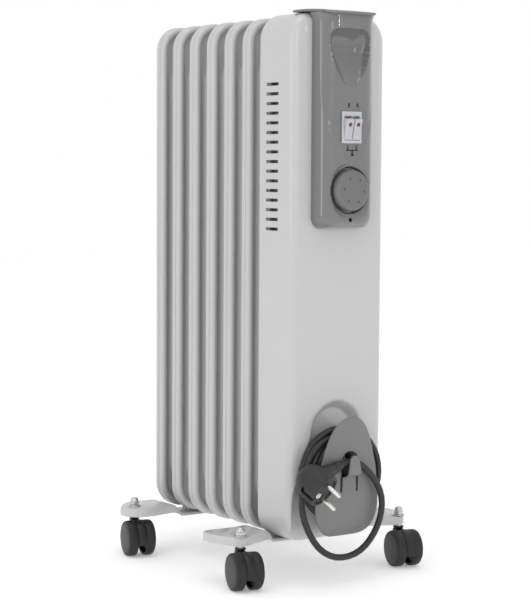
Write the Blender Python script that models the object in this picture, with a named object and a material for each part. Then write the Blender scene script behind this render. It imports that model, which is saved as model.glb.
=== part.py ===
"""Oil filled radiator heater: seven pressed fins on two hubs, a sheet metal cover with a control
panel at the +X end, and two foot brackets on four twin wheel casters.

Metres, +Z up, the floor is z = 0, and +X points to the control end.
"""
import math

import bmesh
import bpy
from mathutils import Matrix, Vector

for leftover in list(bpy.data.objects):
    bpy.data.objects.remove(leftover, do_unlink=True)

# ---------------------------------------------------------------- driving dimensions
GAP = 0.0003                      # space left between pieces that touch
HALF_LENGTH = 0.1509              # rear fin's rim to the cord holder's tongue, halved

FIN_COUNT = 7
FIN_PITCH = 0.03464
FIN_HALF_WIDTH = 0.0612
FIN_BOTTOM = 0.0448
FIN_TOP = 0.603
RIM_RADIUS = 0.0045               # each of the rim's two beads
RIM_OFFSET = 0.0035               # bead centre from the fin's middle plane
RIM_HALF = RIM_OFFSET + RIM_RADIUS
FIRST_FIN_X = -HALF_LENGTH + RIM_HALF
LAST_FIN_X = FIRST_FIN_X + (FIN_COUNT - 1) * FIN_PITCH

HUB_RADIUS = 0.033
LOWER_HUB_Z = 0.085
UPPER_HUB_Z = 0.551
UPPER_HUB_RADIUS = 0.030
HUB_HALF = FIN_PITCH / 2 - GAP / 2
ELEMENT_BORE = 0.010
ELEMENT_RADIUS = 0.007

COVER_WALL = 0.0013
COVER_HALF_WIDTH = FIN_HALF_WIDTH + GAP + COVER_WALL
COVER_REAR = LAST_FIN_X - 0.0042
COVER_FRONT = COVER_REAR + 0.0567
COVER_BOTTOM = FIN_BOTTOM - GAP - COVER_WALL
COVER_TOP = FIN_TOP + GAP + COVER_WALL
COVER_CORNER = 0.028
COVER_EDGE = 0.010
RECESS_DEPTH = 0.010
RECESS_FLOOR = COVER_FRONT - RECESS_DEPTH
VENT_COUNT = 16
VENT_PITCH = 0.01017
VENT_TOP = 0.5299
VENT_LENGTH = 0.0213
VENT_HEIGHT = 0.0024
VENT_START = COVER_REAR + 0.0112

PANEL_BACK = COVER_FRONT + GAP
PANEL_DEPTH = 0.0204
PANEL_FACE = PANEL_BACK + PANEL_DEPTH
PANEL_HALF_WIDTH = 0.037
PANEL_BOTTOM = 0.378
PANEL_TOP = 0.6025
LIP_THICKNESS = 0.0026
LIP_REAR = COVER_FRONT - 0.027
LIP_FRONT = PANEL_FACE + 0.004

SWITCH_Z = 0.4847
SWITCH_HALF_WIDTH = 0.0120
SWITCH_HALF_HEIGHT = 0.0165
SWITCH_FACE = PANEL_FACE + 0.0012
ROCKER_Y = 0.0054                 # each rocker's middle from the switch's middle
ROCKER_Z = SWITCH_Z - 0.0008
ROCKER_TILT = math.radians(13)    # both rockers rest with their tops out
WELL_HALF_HEIGHT = 0.0128
KNOB_Z = 0.4186
KNOB_RADIUS = 0.022
PANEL_SCREW_Z = 0.3876

STEM_RADIUS = 0.003
BOLT_Y = 0.1079
FRONT_BOLT_X = COVER_REAR + 0.0320
REAR_BOLT_X = FIRST_FIN_X + 0.0229
PLATFORM_TOP = 0.054
STRIP_TOP = COVER_BOTTOM - 0.0004
SHEET = 0.0016
U_BOLT_Y = 0.036
U_BOLT_RADIUS = 0.0025

WHEEL_RADIUS = 0.020
WHEEL_WIDTH = 0.011
WHEEL_SIDES = 24
HOOD_WIDTH = 0.0096
CASTER_TRAIL = 0.013
CASTER_SWIVEL = math.radians(-13.5)
AXLE_RADIUS = 0.0025

CORD_DIAMETER = 0.007
COIL_Z = 0.115
COIL_OUTER = 0.0525
COIL_INNER = COIL_OUTER - 2 * CORD_DIAMETER
COIL_BACK = COVER_FRONT + 0.0004
COIL_FRONT = COIL_BACK + 2 * CORD_DIAMETER + 0.0002
HOLDER_HUB_RADIUS = 0.018
FIRST_BEND = 0.030                # radius of the lead's first bend out of the hub
RELIEF_LENGTH = 0.020
RELIEF_BASE = 0.0050
RELIEF_TIP = 0.0039
TONGUE_FRONT = HALF_LENGTH


# ---------------------------------------------------------------- materials
def finish(name, hex_colour, roughness, metallic=0.0):
    """A Principled material from an sRGB hex colour."""
    def linear(value):
        return value / 12.92 if value <= 0.04045 else ((value + 0.055) / 1.055) ** 2.4
    channels = [linear(int(hex_colour[i:i + 2], 16) / 255) for i in (0, 2, 4)]
    material = bpy.data.materials.new(name)
    material.use_nodes = True
    shader = material.node_tree.nodes["Principled BSDF"]
    shader.inputs["Base Color"].default_value = (*channels, 1.0)
    shader.inputs["Roughness"].default_value = roughness
    shader.inputs["Metallic"].default_value = metallic
    material.diffuse_color = (*channels, 1.0)
    return material


ENAMEL = finish("fin enamel", "D2D2D2", 0.35)
COVER_ENAMEL = finish("cover enamel", "CFCFCF", 0.35)
PANEL_GREY = finish("grey ABS", "858585", 0.28)
SWITCH_WHITE = finish("white switch plastic", "C9C9CC", 0.35)
BLACK_PLASTIC = finish("black polypropylene", "3B3B3B", 0.45)
HOOD_BLACK = finish("caster hood plastic", "2E2E2E", 0.5)
ZINC = finish("zinc plated steel", "C8C9CA", 0.3, 1.0)
FOOT_ENAMEL = finish("foot enamel", "D6D6D3", 0.4)
CORD_BLACK = finish("cord PVC", "3A3A3A", 0.5)
PLUG_BLACK = finish("plug rubber", "343434", 0.5)
COPPER = finish("copper element sheath", "B87952", 0.35, 1.0)
INNER_BEIGE = finish("phenolic", "7A6A55", 0.6)
WIRE_GREY = finish("silicone wire", "9A8F8A", 0.6)


# ---------------------------------------------------------------- modelling helpers
def add_object(name, mesh, material, location=(0, 0, 0), rotation=(0, 0, 0)):
    """One named sub-part with its own material."""
    piece = bpy.data.objects.new(name, mesh)
    piece.location = location
    piece.rotation_euler = rotation
    bpy.context.scene.collection.objects.link(piece)
    if not mesh.materials:
        mesh.materials.append(material)
    return piece


def mesh_from(bm, name, smooth_angle=0.6):
    """Close a bmesh into a mesh, faces outward, smooth except at real edges."""
    bmesh.ops.remove_doubles(bm, verts=bm.verts, dist=1e-7)
    bmesh.ops.recalc_face_normals(bm, faces=bm.faces)
    mesh = bpy.data.meshes.new(name)
    bm.to_mesh(mesh)
    bm.free()
    mesh.shade_smooth()
    mesh.set_sharp_from_angle(angle=smooth_angle)
    return mesh


def skin(name, loops):
    """A closed skin over loops of points that all have the same count, flat at both ends."""
    bm = bmesh.new()
    rings = [[bm.verts.new(point) for point in loop] for loop in loops]
    count = len(rings[0])
    for ring, following in zip(rings, rings[1:]):
        for i in range(count):
            j = (i + 1) % count
            bm.faces.new((ring[i], ring[j], following[j], following[i]))
    bm.faces.new(rings[0])
    bm.faces.new(list(reversed(rings[-1])))
    return mesh_from(bm, name)


def rounded(half_width, bottom, top, low_radius, high_radius, steps=3):
    """Points (y, z) round an upright rectangle with rounded corners."""
    corners = ((half_width - low_radius, bottom + low_radius, low_radius, -90),
               (half_width - high_radius, top - high_radius, high_radius, 0),
               (high_radius - half_width, top - high_radius, high_radius, 90),
               (low_radius - half_width, bottom + low_radius, low_radius, 180))
    points = []
    for y, z, radius, start in corners:
        for step in range(steps + 1):
            angle = math.radians(start + 90 * step / steps)
            points.append((y + radius * math.cos(angle), z + radius * math.sin(angle)))
    return points


def upright_loop(x, *outline, steps=3):
    return [(x, y, z) for y, z in rounded(*outline, steps=steps)]


def prism(name, outline, low, high, axis="x"):
    """An outline extruded along an axis: (y, z) along x, (x, z) along y, (x, y) along z."""
    place = {"x": lambda p, t: (t, p[0], p[1]), "y": lambda p, t: (p[0], t, p[1]),
             "z": lambda p, t: (p[0], p[1], t)}[axis]
    return skin(name, [[place(p, low) for p in outline], [place(p, high) for p in outline]])


def block(name, low, high):
    """A box between two corners."""
    (x0, y0, z0), (x1, y1, z1) = low, high
    return prism(name, [(x0, y0), (x1, y0), (x1, y1), (x0, y1)], z0, z1, "z")


def turned(name, profile, segments=24, half_step=False):
    """A profile of (radius, height) spun round the z axis; it starts and ends on the axis."""
    bm = bmesh.new()
    start = math.pi / segments if half_step else 0.0
    turn = Matrix.Rotation(start, 3, "Z")
    verts = [bm.verts.new(turn @ Vector((radius, 0, height))) for radius, height in profile]
    edges = [bm.edges.new(pair) for pair in zip(verts, verts[1:])]
    bmesh.ops.spin(bm, geom=verts + edges, cent=(0, 0, 0), axis=(0, 0, 1),
                   angle=2 * math.pi, steps=segments)
    return mesh_from(bm, name)


def lathe_ring(name, profile, segments=24, half_step=False):
    """A closed profile of (radius, height) off the axis, spun into a ring."""
    return turned(name, profile + profile[:1], segments, half_step)


def facing(direction):
    """The rotation that takes the z axis to a direction."""
    return Vector(direction).to_track_quat("Z", "Y").to_euler()


TO_X = (0, math.pi / 2, 0)
TO_Y = (-math.pi / 2, 0, 0)


def combine(body, tool_mesh, operation, location=(0, 0, 0), rotation=(0, 0, 0)):
    """Cut a tool from a body, or join it on, and keep the result as the body's mesh."""
    tool = bpy.data.objects.new("tool", tool_mesh)
    tool.location = location
    tool.rotation_euler = rotation
    tool.hide_render = True
    tool.display_type = "WIRE"
    bpy.context.scene.collection.objects.link(tool)
    step = body.modifiers.new("combine", "BOOLEAN")
    step.operation = operation
    step.object = tool
    step.solver = "EXACT"
    bpy.context.view_layer.update()
    evaluated = body.evaluated_get(bpy.context.evaluated_depsgraph_get())
    result = bpy.data.meshes.new_from_object(evaluated)
    result.name = body.data.name
    body.modifiers.clear()
    body.data = result
    bpy.data.objects.remove(tool, do_unlink=True)


def cut(body, tool_mesh, location=(0, 0, 0), rotation=(0, 0, 0)):
    combine(body, tool_mesh, "DIFFERENCE", location, rotation)


def join(body, tool_mesh, location=(0, 0, 0), rotation=(0, 0, 0)):
    combine(body, tool_mesh, "UNION", location, rotation)


def rod(name, radius, length, segments=24):
    """A plain round bar from z = 0 up."""
    return turned(name, [(0, length), (radius, length), (radius, 0), (0, 0)], segments)


def smooth_route(points, spacing):
    """Points evenly spaced along a smooth curve through the given ones."""
    nodes = [Vector(p) for p in points]
    nodes = [2 * nodes[0] - nodes[1]] + nodes + [2 * nodes[-1] - nodes[-2]]
    fine = []
    for a, b, c, d in zip(nodes, nodes[1:], nodes[2:], nodes[3:]):
        for step in range(16):
            t = step / 16
            fine.append(0.5 * (2 * b + (c - a) * t + (2 * a - 5 * b + 4 * c - d) * t ** 2
                               + (3 * b - a - 3 * c + d) * t ** 3))
    fine.append(nodes[-2])
    total = sum((q - p).length for p, q in zip(fine, fine[1:]))
    count = max(2, round(total / spacing))
    result, walked, target = [fine[0]], 0.0, 1
    for p, q in zip(fine, fine[1:]):
        length = (q - p).length
        while target < count and walked + length >= total * target / count:
            result.append(p.lerp(q, (total * target / count - walked) / length))
            target += 1
        walked += length
    result.append(fine[-1])
    return result


def tube(name, points, radius, material, resolution=2):
    """A round bar along a list of points."""
    curve = bpy.data.curves.new(name, "CURVE")
    curve.dimensions = "3D"
    curve.bevel_depth = radius
    curve.bevel_resolution = resolution
    curve.use_fill_caps = True
    line = curve.splines.new("POLY")
    line.points.add(len(points) - 1)
    for knot, point in zip(line.points, points):
        knot.co = (*point, 1.0)
    return add_object(name, curve, material)


def solid_tube(name, points, radius, material):
    """A tube turned into a plain mesh, so that other pieces can be joined to it."""
    guide = tube("guide", points, radius, material)
    bpy.context.view_layer.update()
    evaluated = guide.evaluated_get(bpy.context.evaluated_depsgraph_get())
    mesh = bpy.data.meshes.new_from_object(evaluated)
    bpy.data.objects.remove(guide, do_unlink=True)
    bm = bmesh.new()
    bm.from_mesh(mesh)
    return add_object(name, mesh_from(bm, name), material)


# ---------------------------------------------------------------- fins
def rim_profile():
    """(inset, x) from the groove in the middle of the rim over one bead to the web."""
    points = []
    for degrees in (-45, 10, 70, 125):
        angle = math.radians(degrees)
        points.append((RIM_RADIUS * (1 - math.cos(angle)), RIM_OFFSET + RIM_RADIUS * math.sin(angle)))
    return points + [(0.0100, 0.0022)]


def fin_mesh():
    """Two pressed sheets: a beaded rim, a flat web and a raised oil channel."""
    def rim_loop(inset, x):
        return upright_loop(x, FIN_HALF_WIDTH - inset, FIN_BOTTOM + inset, FIN_TOP - inset,
                            0.030 - inset, 0.0275 - inset)

    front = [rim_loop(inset, x) for inset, x in rim_profile()]
    front.append(upright_loop(0.0022, 0.0480, 0.062, 0.573, 0.034, 0.034))
    front.append(upright_loop(0.0065, 0.0435, 0.067, 0.568, 0.030, 0.030))
    back = [[(-x, y, z) for x, y, z in loop] for loop in reversed(front)]
    return skin("fin", back + front)


def make_fins():
    """Seven fins; the rear one's hubs end flush with its rim and its lower hub is closed."""
    def with_hubs(rear_reach):
        body = add_object("fin body", fin_mesh(), ENAMEL)
        join(body, rod("hub", HUB_RADIUS, rear_reach + HUB_HALF, 18), (-rear_reach, 0, LOWER_HUB_Z), TO_X)
        join(body, rod("upper hub", UPPER_HUB_RADIUS, rear_reach + HUB_HALF, 18),
             (-rear_reach, 0, UPPER_HUB_Z), TO_X)
        return body

    def bored(body, start):
        cut(body, rod("bore", ELEMENT_BORE, 2 * HUB_HALF + 0.002, 12), (start, 0, LOWER_HUB_Z), TO_X)
        mesh = body.data
        bpy.data.objects.remove(body, do_unlink=True)
        return mesh

    rear = bored(with_hubs(RIM_HALF), -0.004)
    through = bored(with_hubs(HUB_HALF), -HUB_HALF - 0.001)
    for number in range(FIN_COUNT):
        mesh = through if number else rear
        add_object(f"fin_{number + 1}", mesh, ENAMEL, (FIRST_FIN_X + number * FIN_PITCH, 0, 0))


# ---------------------------------------------------------------- control cover
def bell(flank, arc_radius, bottom):
    """Half width by height of the arched cord recess, as a closed (y, z) outline."""
    arc = [(arc_radius * math.cos(a), 0.161 + arc_radius * math.sin(a))
           for a in (math.radians(-12 + 12.75 * i) for i in range(8))]
    right = [(flank, bottom), (flank, 0.096), (0.81 * flank, 0.122)] + arc
    return right + [(-y, z) for y, z in reversed(arc + [(0.0, 0.161 + arc_radius)]) if y > 1e-6] + \
        [(-0.81 * flank, 0.122), (-flank, 0.096), (-flank, bottom)]


def cover_loops(shrink, rear):
    """The cover's outer skin, or its inner one when shrunk by the wall."""
    edge = COVER_EDGE - shrink
    front = COVER_FRONT - shrink
    rows = [(rear, 0.0), (front - edge, 0.0)]
    for degrees in (30, 60, 90):
        angle = math.radians(degrees)
        rows.append((front - edge + edge * math.sin(angle), edge * (1 - math.cos(angle))))
    return [upright_loop(x, COVER_HALF_WIDTH - shrink - inset, COVER_BOTTOM + shrink + inset,
                         COVER_TOP - shrink - inset, COVER_CORNER - shrink - inset,
                         COVER_CORNER - shrink - inset) for x, inset in rows]


def make_cover():
    cavity = add_object("cavity", skin("cavity", cover_loops(COVER_WALL, COVER_REAR - 0.002)), ENAMEL)
    wide_bell = bell(0.066, 0.033 + COVER_WALL, 0.020)
    cut(cavity, prism("recess wall", wide_bell, RECESS_FLOOR - COVER_WALL, COVER_FRONT + 0.01))
    cover = add_object("control_cover", skin("control_cover", cover_loops(0.0, COVER_REAR)), COVER_ENAMEL)
    cut(cover, cavity.data)
    bpy.data.objects.remove(cavity, do_unlink=True)

    rim = [(COVER_FRONT + 0.002, y, z) for y, z in bell(0.0590, 0.0335, 0.030)]
    floor = [(RECESS_FLOOR, y * 0.88, z if z < 0.1 else z - 0.006) for y, z in bell(0.0590, 0.0335, 0.030)]
    cut(cover, skin("recess", [floor, rim]))
    cut(cover, block("works window", (COVER_FRONT - 0.004, -0.024, 0.395),
                     (COVER_FRONT + 0.002, 0.024, 0.512)))
    for number in range(VENT_COUNT):
        z = VENT_TOP - number * VENT_PITCH
        cut(cover, block("vent", (VENT_START, -0.08, z - VENT_HEIGHT / 2),
                         (VENT_START + VENT_LENGTH, 0.08, z + VENT_HEIGHT / 2)))


def make_works():
    """What sits inside the cover."""
    flange_x = LAST_FIN_X + HUB_HALF + GAP
    flange_z = flange_x - FIRST_FIN_X
    element = lathe_ring("heating_element", [
        (0.0030, 0.004), (ELEMENT_RADIUS, 0.004), (ELEMENT_RADIUS, flange_z), (0.024, flange_z),
        (0.024, flange_z + 0.0035), (0.012, flange_z + 0.0035), (0.012, flange_z + 0.0075),
        (0.0030, flange_z + 0.0075)], 14)
    add_object("heating_element", element, COPPER, (FIRST_FIN_X, 0, LOWER_HUB_Z), TO_X)
    cutout = turned("thermal_cutout", [(0, 0.008), (0.006, 0.008), (0.006, 0.003), (0.010, 0.003),
                                       (0.010, 0), (0, 0)], 20)
    add_object("thermal_cutout", cutout, INNER_BEIGE, (flange_x, 0, UPPER_HUB_Z), TO_X)
    shield_x = flange_x + 0.0135
    shield = add_object("heat_shield", prism("heat_shield", rounded(0.0600, 0.205, 0.596, 0.010, 0.024),
                                             shield_x, shield_x + 0.0010), ZINC)
    cut(shield, rod("wire hole", 0.008, 0.01), (shield_x - 0.004, 0, 0.300), TO_X)
    block_x = shield_x + 0.001 + GAP
    add_object("terminal_block", block("terminal_block", (block_x, -0.018, 0.240),
                                       (block_x + 0.012, 0.018, 0.258)), INNER_BEIGE)
    route = [(block_x + 0.006, 0.0, 0.2585), (block_x + 0.008, 0.0, 0.300), (block_x + 0.010, 0.004, 0.340),
             (block_x + 0.009, 0.014, 0.380), (block_x + 0.008, 0.017, 0.420),
              (block_x + 0.008, 0.010, 0.4585)]
    tube("internal_wires", smooth_route(route, 0.020), 0.002, WIRE_GREY)


# ---------------------------------------------------------------- control panel
def panel_rows():
    """(x, half width, bottom, corner) of the panel from its back to its face."""
    return ((PANEL_BACK, PANEL_HALF_WIDTH, PANEL_BOTTOM, 0.0120),
            (PANEL_BACK + 0.0080, PANEL_HALF_WIDTH - 0.0015, PANEL_BOTTOM + 0.0006, 0.0116),
            (PANEL_BACK + 0.0145, PANEL_HALF_WIDTH - 0.0060, PANEL_BOTTOM + 0.0020, 0.0105),
            (PANEL_BACK + 0.0185, PANEL_HALF_WIDTH - 0.0120, PANEL_BOTTOM + 0.0045, 0.0090),
            (PANEL_FACE, PANEL_HALF_WIDTH - 0.0200, PANEL_BOTTOM + 0.0090, 0.0070))


def shield_outline(half_width, bottom, top, steps=5):
    """A shield shape (y, z): straight across the top, coming to a rounded point below."""
    right = []
    for step in range(steps + 1):
        angle = math.radians(-90 + 90 * step / steps)
        right.append((half_width * math.cos(angle) ** 0.8,
                      top - 0.012 + (top - 0.012 - bottom) * math.sin(angle)))
    corner = [(half_width, top - 0.006), (half_width - 0.005, top)]
    right = [(0.0, bottom)] + right[1:] + corner
    return right + [(-y, z) for y, z in reversed(right) if y > 1e-6]


def make_panel():
    loops = [upright_loop(x, half, bottom, PANEL_TOP, corner, 0.006)
             for x, half, bottom, corner in panel_rows()]
    panel = add_object("control_panel", skin("control_panel", loops), PANEL_GREY)

    lip_rows = ((LIP_REAR, 0.0400, 0.0), (LIP_REAR + 0.006, 0.0460, 0.0), (COVER_FRONT - 0.010, 0.0455, 0.0),
                (COVER_FRONT + 0.003, 0.0420, 0.0), (PANEL_BACK + 0.010, 0.0370, 0.0004),
                (PANEL_BACK + 0.018, 0.0320, 0.0012), (LIP_FRONT, 0.0260, 0.0024))
    low = COVER_TOP + GAP
    lip = []
    for x, half, drop in lip_rows:
        top = low + LIP_THICKNESS - drop
        bottom = low - drop
        lip.append([(x, half, bottom), (x, half - 0.0008, top), (x, 0.0008 - half, top), (x, -half, bottom)])
    join(panel, skin("lip", lip))
    join(panel, block("neck", (PANEL_BACK, -0.0345, PANEL_TOP - 0.006),
                      (PANEL_BACK + 0.012, 0.0345, low + 0.001)))

    inner = [upright_loop(x, half - 0.0025, bottom + 0.0025, 0.518, corner - 0.002, 0.004)
             for x, half, bottom, corner in panel_rows()]
    inner = [[(x - (0.001 if row == 0 else 0.0022), y, z) for x, y, z in loop]
             for row, loop in enumerate(inner)]
    cut(panel, skin("panel hollow", inner))

    mouth = [(PANEL_FACE + 0.003, y, z) for y, z in shield_outline(0.0265, 0.5270, 0.5865)]
    floor = [(PANEL_FACE + 0.0005 - 0.34 * (z - 0.530), y, z)
             for y, z in shield_outline(0.0225, 0.5330, 0.5880)]
    cut(panel, skin("finger recess", [floor, mouth]))
    cut(panel, block("switch window",
                     (PANEL_BACK, -SWITCH_HALF_WIDTH - GAP, SWITCH_Z - SWITCH_HALF_HEIGHT - GAP),
                     (PANEL_FACE + 0.005, SWITCH_HALF_WIDTH + GAP, SWITCH_Z + SWITCH_HALF_HEIGHT + GAP)))
    dish = turned("knob dish", [(0, 0.010), (0.031, 0.010), (0.031, 0.0032), (0.0235, 0.0016),
                                (0.0235, 0.0), (0, 0.0)], 32)
    cut(panel, dish, (PANEL_FACE - 0.0022, 0, KNOB_Z), TO_X)
    cut(panel, rod("shaft hole", 0.0036, 0.02, 16), (PANEL_FACE - 0.010, 0, KNOB_Z), TO_X)
    cut(panel, rod("screw hole", 0.0021, 0.03, 12), (PANEL_BACK - 0.002, 0, PANEL_SCREW_Z), TO_X)


def make_switch():
    face = SWITCH_FACE
    body = add_object("switch_body", block(
        "switch_body", (face - 0.027, -SWITCH_HALF_WIDTH, SWITCH_Z - SWITCH_HALF_HEIGHT),
        (face, SWITCH_HALF_WIDTH, SWITCH_Z + SWITCH_HALF_HEIGHT)), SWITCH_WHITE)
    for side in (-1, 1):
        middle = side * ROCKER_Y
        cut(body, block("rocker well", (face - 0.011, middle - 0.0050, ROCKER_Z - WELL_HALF_HEIGHT),
                        (face + 0.002, middle + 0.0050, ROCKER_Z + WELL_HALF_HEIGHT)))
    tabs = [(-0.0055, -0.008), (-0.0055, 0.008), (0.0055, -0.008), (0.0055, 0.008)]
    bar = add_object("switch_terminals", block(
        "switch_terminals", (face - 0.0283, -0.008, SWITCH_Z - 0.011),
        (face - 0.0273, 0.008, SWITCH_Z + 0.011)), ZINC)
    for y, z in tabs:
        join(bar, block("tab", (face - 0.0333, y - 0.0024, SWITCH_Z + z - 0.0005),
                        (face - 0.0278, y + 0.0024, SWITCH_Z + z + 0.0005)))
    profile = [(-0.0045, -0.0060), (-0.0045, 0.0060), (0.0012, 0.0108), (0.0068, 0.0112),
               (0.0064, 0.0), (0.0068, -0.0112), (0.0012, -0.0108)]
    for name, side in (("rocker_left", -1), ("rocker_right", 1)):
        add_object(name, prism(name, profile, -0.0047, 0.0047, "y"), SWITCH_WHITE,
                   (face - 0.0035, side * ROCKER_Y, ROCKER_Z), (0, ROCKER_TILT, 0))


def make_thermostat():
    body = add_object("thermostat_body", block(
        "thermostat_body", (PANEL_BACK - 0.010, -0.016, KNOB_Z - 0.014),
        (PANEL_BACK + 0.010, 0.016, KNOB_Z + 0.014)),
        INNER_BEIGE)
    cut(body, rod("shaft bore", 0.0032, 0.03, 16), (PANEL_BACK - 0.004, 0, KNOB_Z), TO_X)
    add_object("thermostat_shaft", rod("thermostat_shaft", 0.0030, PANEL_DEPTH + 0.0045, 16), ZINC,
               (PANEL_BACK - 0.0035, 0, KNOB_Z), TO_X)
    profile = [(0, 0.0083), (0.0160, 0.0083), (0.0198, 0.0075), (KNOB_RADIUS, 0.0050), (KNOB_RADIUS, 0.0004),
               (0.0030 + 0.0004, 0.0004), (0.0030 + 0.0004, 0.0045), (0, 0.0045)]
    add_object("thermostat_knob", turned("thermostat_knob", profile, 24), PANEL_GREY,
               (PANEL_FACE - 0.0022, 0, KNOB_Z), TO_X)
    screw = turned("panel_screw", [(0, 0.0010), (0.0017, 0.0010), (0.0017, -0.012), (0, -0.012)], 12)
    add_object("panel_screw", screw, ZINC, (PANEL_BACK + 0.0150, 0, PANEL_SCREW_Z), TO_X)


# ---------------------------------------------------------------- feet
def bracket(name, rows, tip, bolt_x, leg_x):
    """A pressed foot: a low strip under the fins that rises to a flanged platform at each end.

    rows hold (distance from the middle, rear edge, front edge, top, bottom) from the middle out.
    """
    def section(y, rear, front, top, bottom):
        return [(rear, y, bottom), (rear, y, top - 0.0012), (rear + 0.0012, y, top),
                (front - 0.0012, y, top), (front, y, top - 0.0012), (front, y, bottom)]

    outer = [section(-y, *row) for y, *row in reversed(rows)] + [section(y, *row) for y, *row in rows[1:]]
    foot = add_object(name, skin(name, outer), FOOT_ENAMEL)

    def hollow(y, rear, front, top, bottom):
        return [(rear + SHEET, y, bottom - 0.004), (rear + SHEET, y, top - SHEET),
                (front - SHEET, y, top - SHEET), (front - SHEET, y, bottom - 0.004)]

    kept = [row for row in rows if row[0] < tip]
    inner = [hollow(-y, *row) for y, *row in reversed(kept)] + [hollow(y, *row) for y, *row in kept[1:]]
    cut(foot, skin("foot hollow", inner))
    for side in (-1, 1):
        cut(foot, rod("stem hole", STEM_RADIUS + GAP, 0.03, 12), (bolt_x, side * BOLT_Y, 0.040))
        cut(foot, rod("leg hole", U_BOLT_RADIUS + 0.0005, 0.03, 10), (leg_x, side * U_BOLT_Y, 0.030))


def make_feet():
    strip, low = STRIP_TOP, STRIP_TOP - 0.0030
    platform, rim = PLATFORM_TOP, PLATFORM_TOP - 0.0092
    zero = COVER_REAR - 0.2086
    front = [(y, zero + a, zero + b, top, bottom) for y, a, b, top, bottom in (
        (0.0, 0.186, 0.225, strip, low), (0.050, 0.186, 0.225, strip, low),
        (0.066, 0.190, 0.232, platform, rim), (0.090, 0.1905, 0.2415, platform, rim),
        (0.102, 0.190, 0.2460, platform, rim), (0.109, 0.189, 0.2455, platform, rim),
        (0.115, 0.189, 0.2410, platform, rim), (0.120, 0.190, 0.2310, platform, rim),
        (0.1235, 0.193, 0.2190, platform, rim), (0.1270, 0.200, 0.2070, platform, rim))]
    rear = [(y, zero + a, zero + b, top, bottom) for y, a, b, top, bottom in (
        (0.0, 0.007, 0.046, strip, low), (0.050, 0.007, 0.046, strip, low),
        (0.066, 0.006, 0.0465, platform, rim), (0.078, 0.001, 0.0475, platform, rim),
        (0.089, -0.002, 0.0500, platform, rim), (0.100, -0.001, 0.0510, platform, rim),
        (0.110, 0.006, 0.0500, platform, rim), (0.118, 0.015, 0.0460, platform, rim),
        (0.1225, 0.021, 0.0400, platform, rim), (0.1255, 0.026, 0.0330, platform, rim))]
    gap_front = LAST_FIN_X - FIN_PITCH / 2
    gap_rear = FIRST_FIN_X + FIN_PITCH / 2
    bracket("front_foot_bracket", front, 0.121, FRONT_BOLT_X, gap_front)
    bracket("rear_foot_bracket", rear, 0.120, REAR_BOLT_X, gap_rear)
    for name, x in (("front", gap_front), ("rear", gap_rear)):
        bend = [(x, U_BOLT_Y * math.cos(a), LOWER_HUB_Z + U_BOLT_Y * math.sin(a))
                for a in (math.radians(22.5 * i) for i in range(9))]
        leg = [(x, U_BOLT_Y, 0.0365), (x, U_BOLT_Y, 0.060)]
        bolt = solid_tube(f"{name}_u_bolt", leg + bend + [(x, -U_BOLT_Y, 0.060), (x, -U_BOLT_Y, 0.0365)],
                          U_BOLT_RADIUS, ZINC)
        for side in (-1, 1):
            join(bolt, rod("u_bolt_nut", 0.0046, 0.0032, 6),
                 (x, side * U_BOLT_Y, STRIP_TOP - SHEET - GAP - 0.0032))


def make_casters():
    # The stem's collar sits over the wheels; the hood swivels on the stem, the wheels spin on the axle.
    stem = turned("stem", [(0, 0.0605), (STEM_RADIUS, 0.0605), (STEM_RADIUS, 0.0250), (0, 0.0250)], 16)
    nut = turned("nut", [(0, 0.0102), (0.0040, 0.0086), (0.0054, 0.0052), (0.0054, 0.0014),
                         (0.0072, 0.0014), (0.0072, 0.0), (STEM_RADIUS + GAP, 0.0),
                         (STEM_RADIUS + GAP, 0.0072), (0, 0.0072)], 12)
    axle = rod("axle", AXLE_RADIUS, HOOD_WIDTH + 2 * WHEEL_WIDTH - 0.004, 16)
    half = WHEEL_WIDTH / 2
    flat = WHEEL_RADIUS / math.cos(math.pi / WHEEL_SIDES)
    wheel = lathe_ring("wheel", [
        (AXLE_RADIUS + 0.00012, -half), (flat - 0.0010, -half), (flat, -half + 0.0012),
        (flat, half - 0.0022), (flat - 0.0026, half),
        (AXLE_RADIUS + 0.00012, half)], WHEEL_SIDES, half_step=True)
    for end, bolt_x in (("front", FRONT_BOLT_X), ("rear", REAR_BOLT_X)):
        for side, word in ((-1, "left"), (1, "right")):
            name = f"{end}_{word}"
            swivel = bpy.data.objects.new(f"{name}_swivel", None)
            swivel.location = (bolt_x, side * BOLT_Y, 0)
            swivel.rotation_euler = (0, 0, CASTER_SWIVEL)
            bpy.context.scene.collection.objects.link(swivel)
            add_object(f"{name}_caster_stem", stem, ZINC, (bolt_x, side * BOLT_Y, 0))
            add_object(f"{name}_caster_nut", nut, ZINC, (bolt_x, side * BOLT_Y, PLATFORM_TOP + GAP))
            hood = make_hood(f"{name}_caster_hood")
            hood.parent = swivel
            rod_piece = add_object(f"{name}_caster_axle", axle, ZINC,
                                   (CASTER_TRAIL, -(HOOD_WIDTH / 2 + WHEEL_WIDTH - 0.002), WHEEL_RADIUS), TO_Y)
            rod_piece.parent = swivel
            for wheel_side, letter in ((-1, "a"), (1, "b")):
                turn = TO_Y if wheel_side > 0 else (math.pi / 2, 0, 0)
                middle = wheel_side * (HOOD_WIDTH / 2 + GAP + half)
                disc = add_object(f"{name}_wheel_{letter}", wheel, BLACK_PLASTIC,
                                  (CASTER_TRAIL, middle, WHEEL_RADIUS), turn)
                disc.parent = swivel


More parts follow.
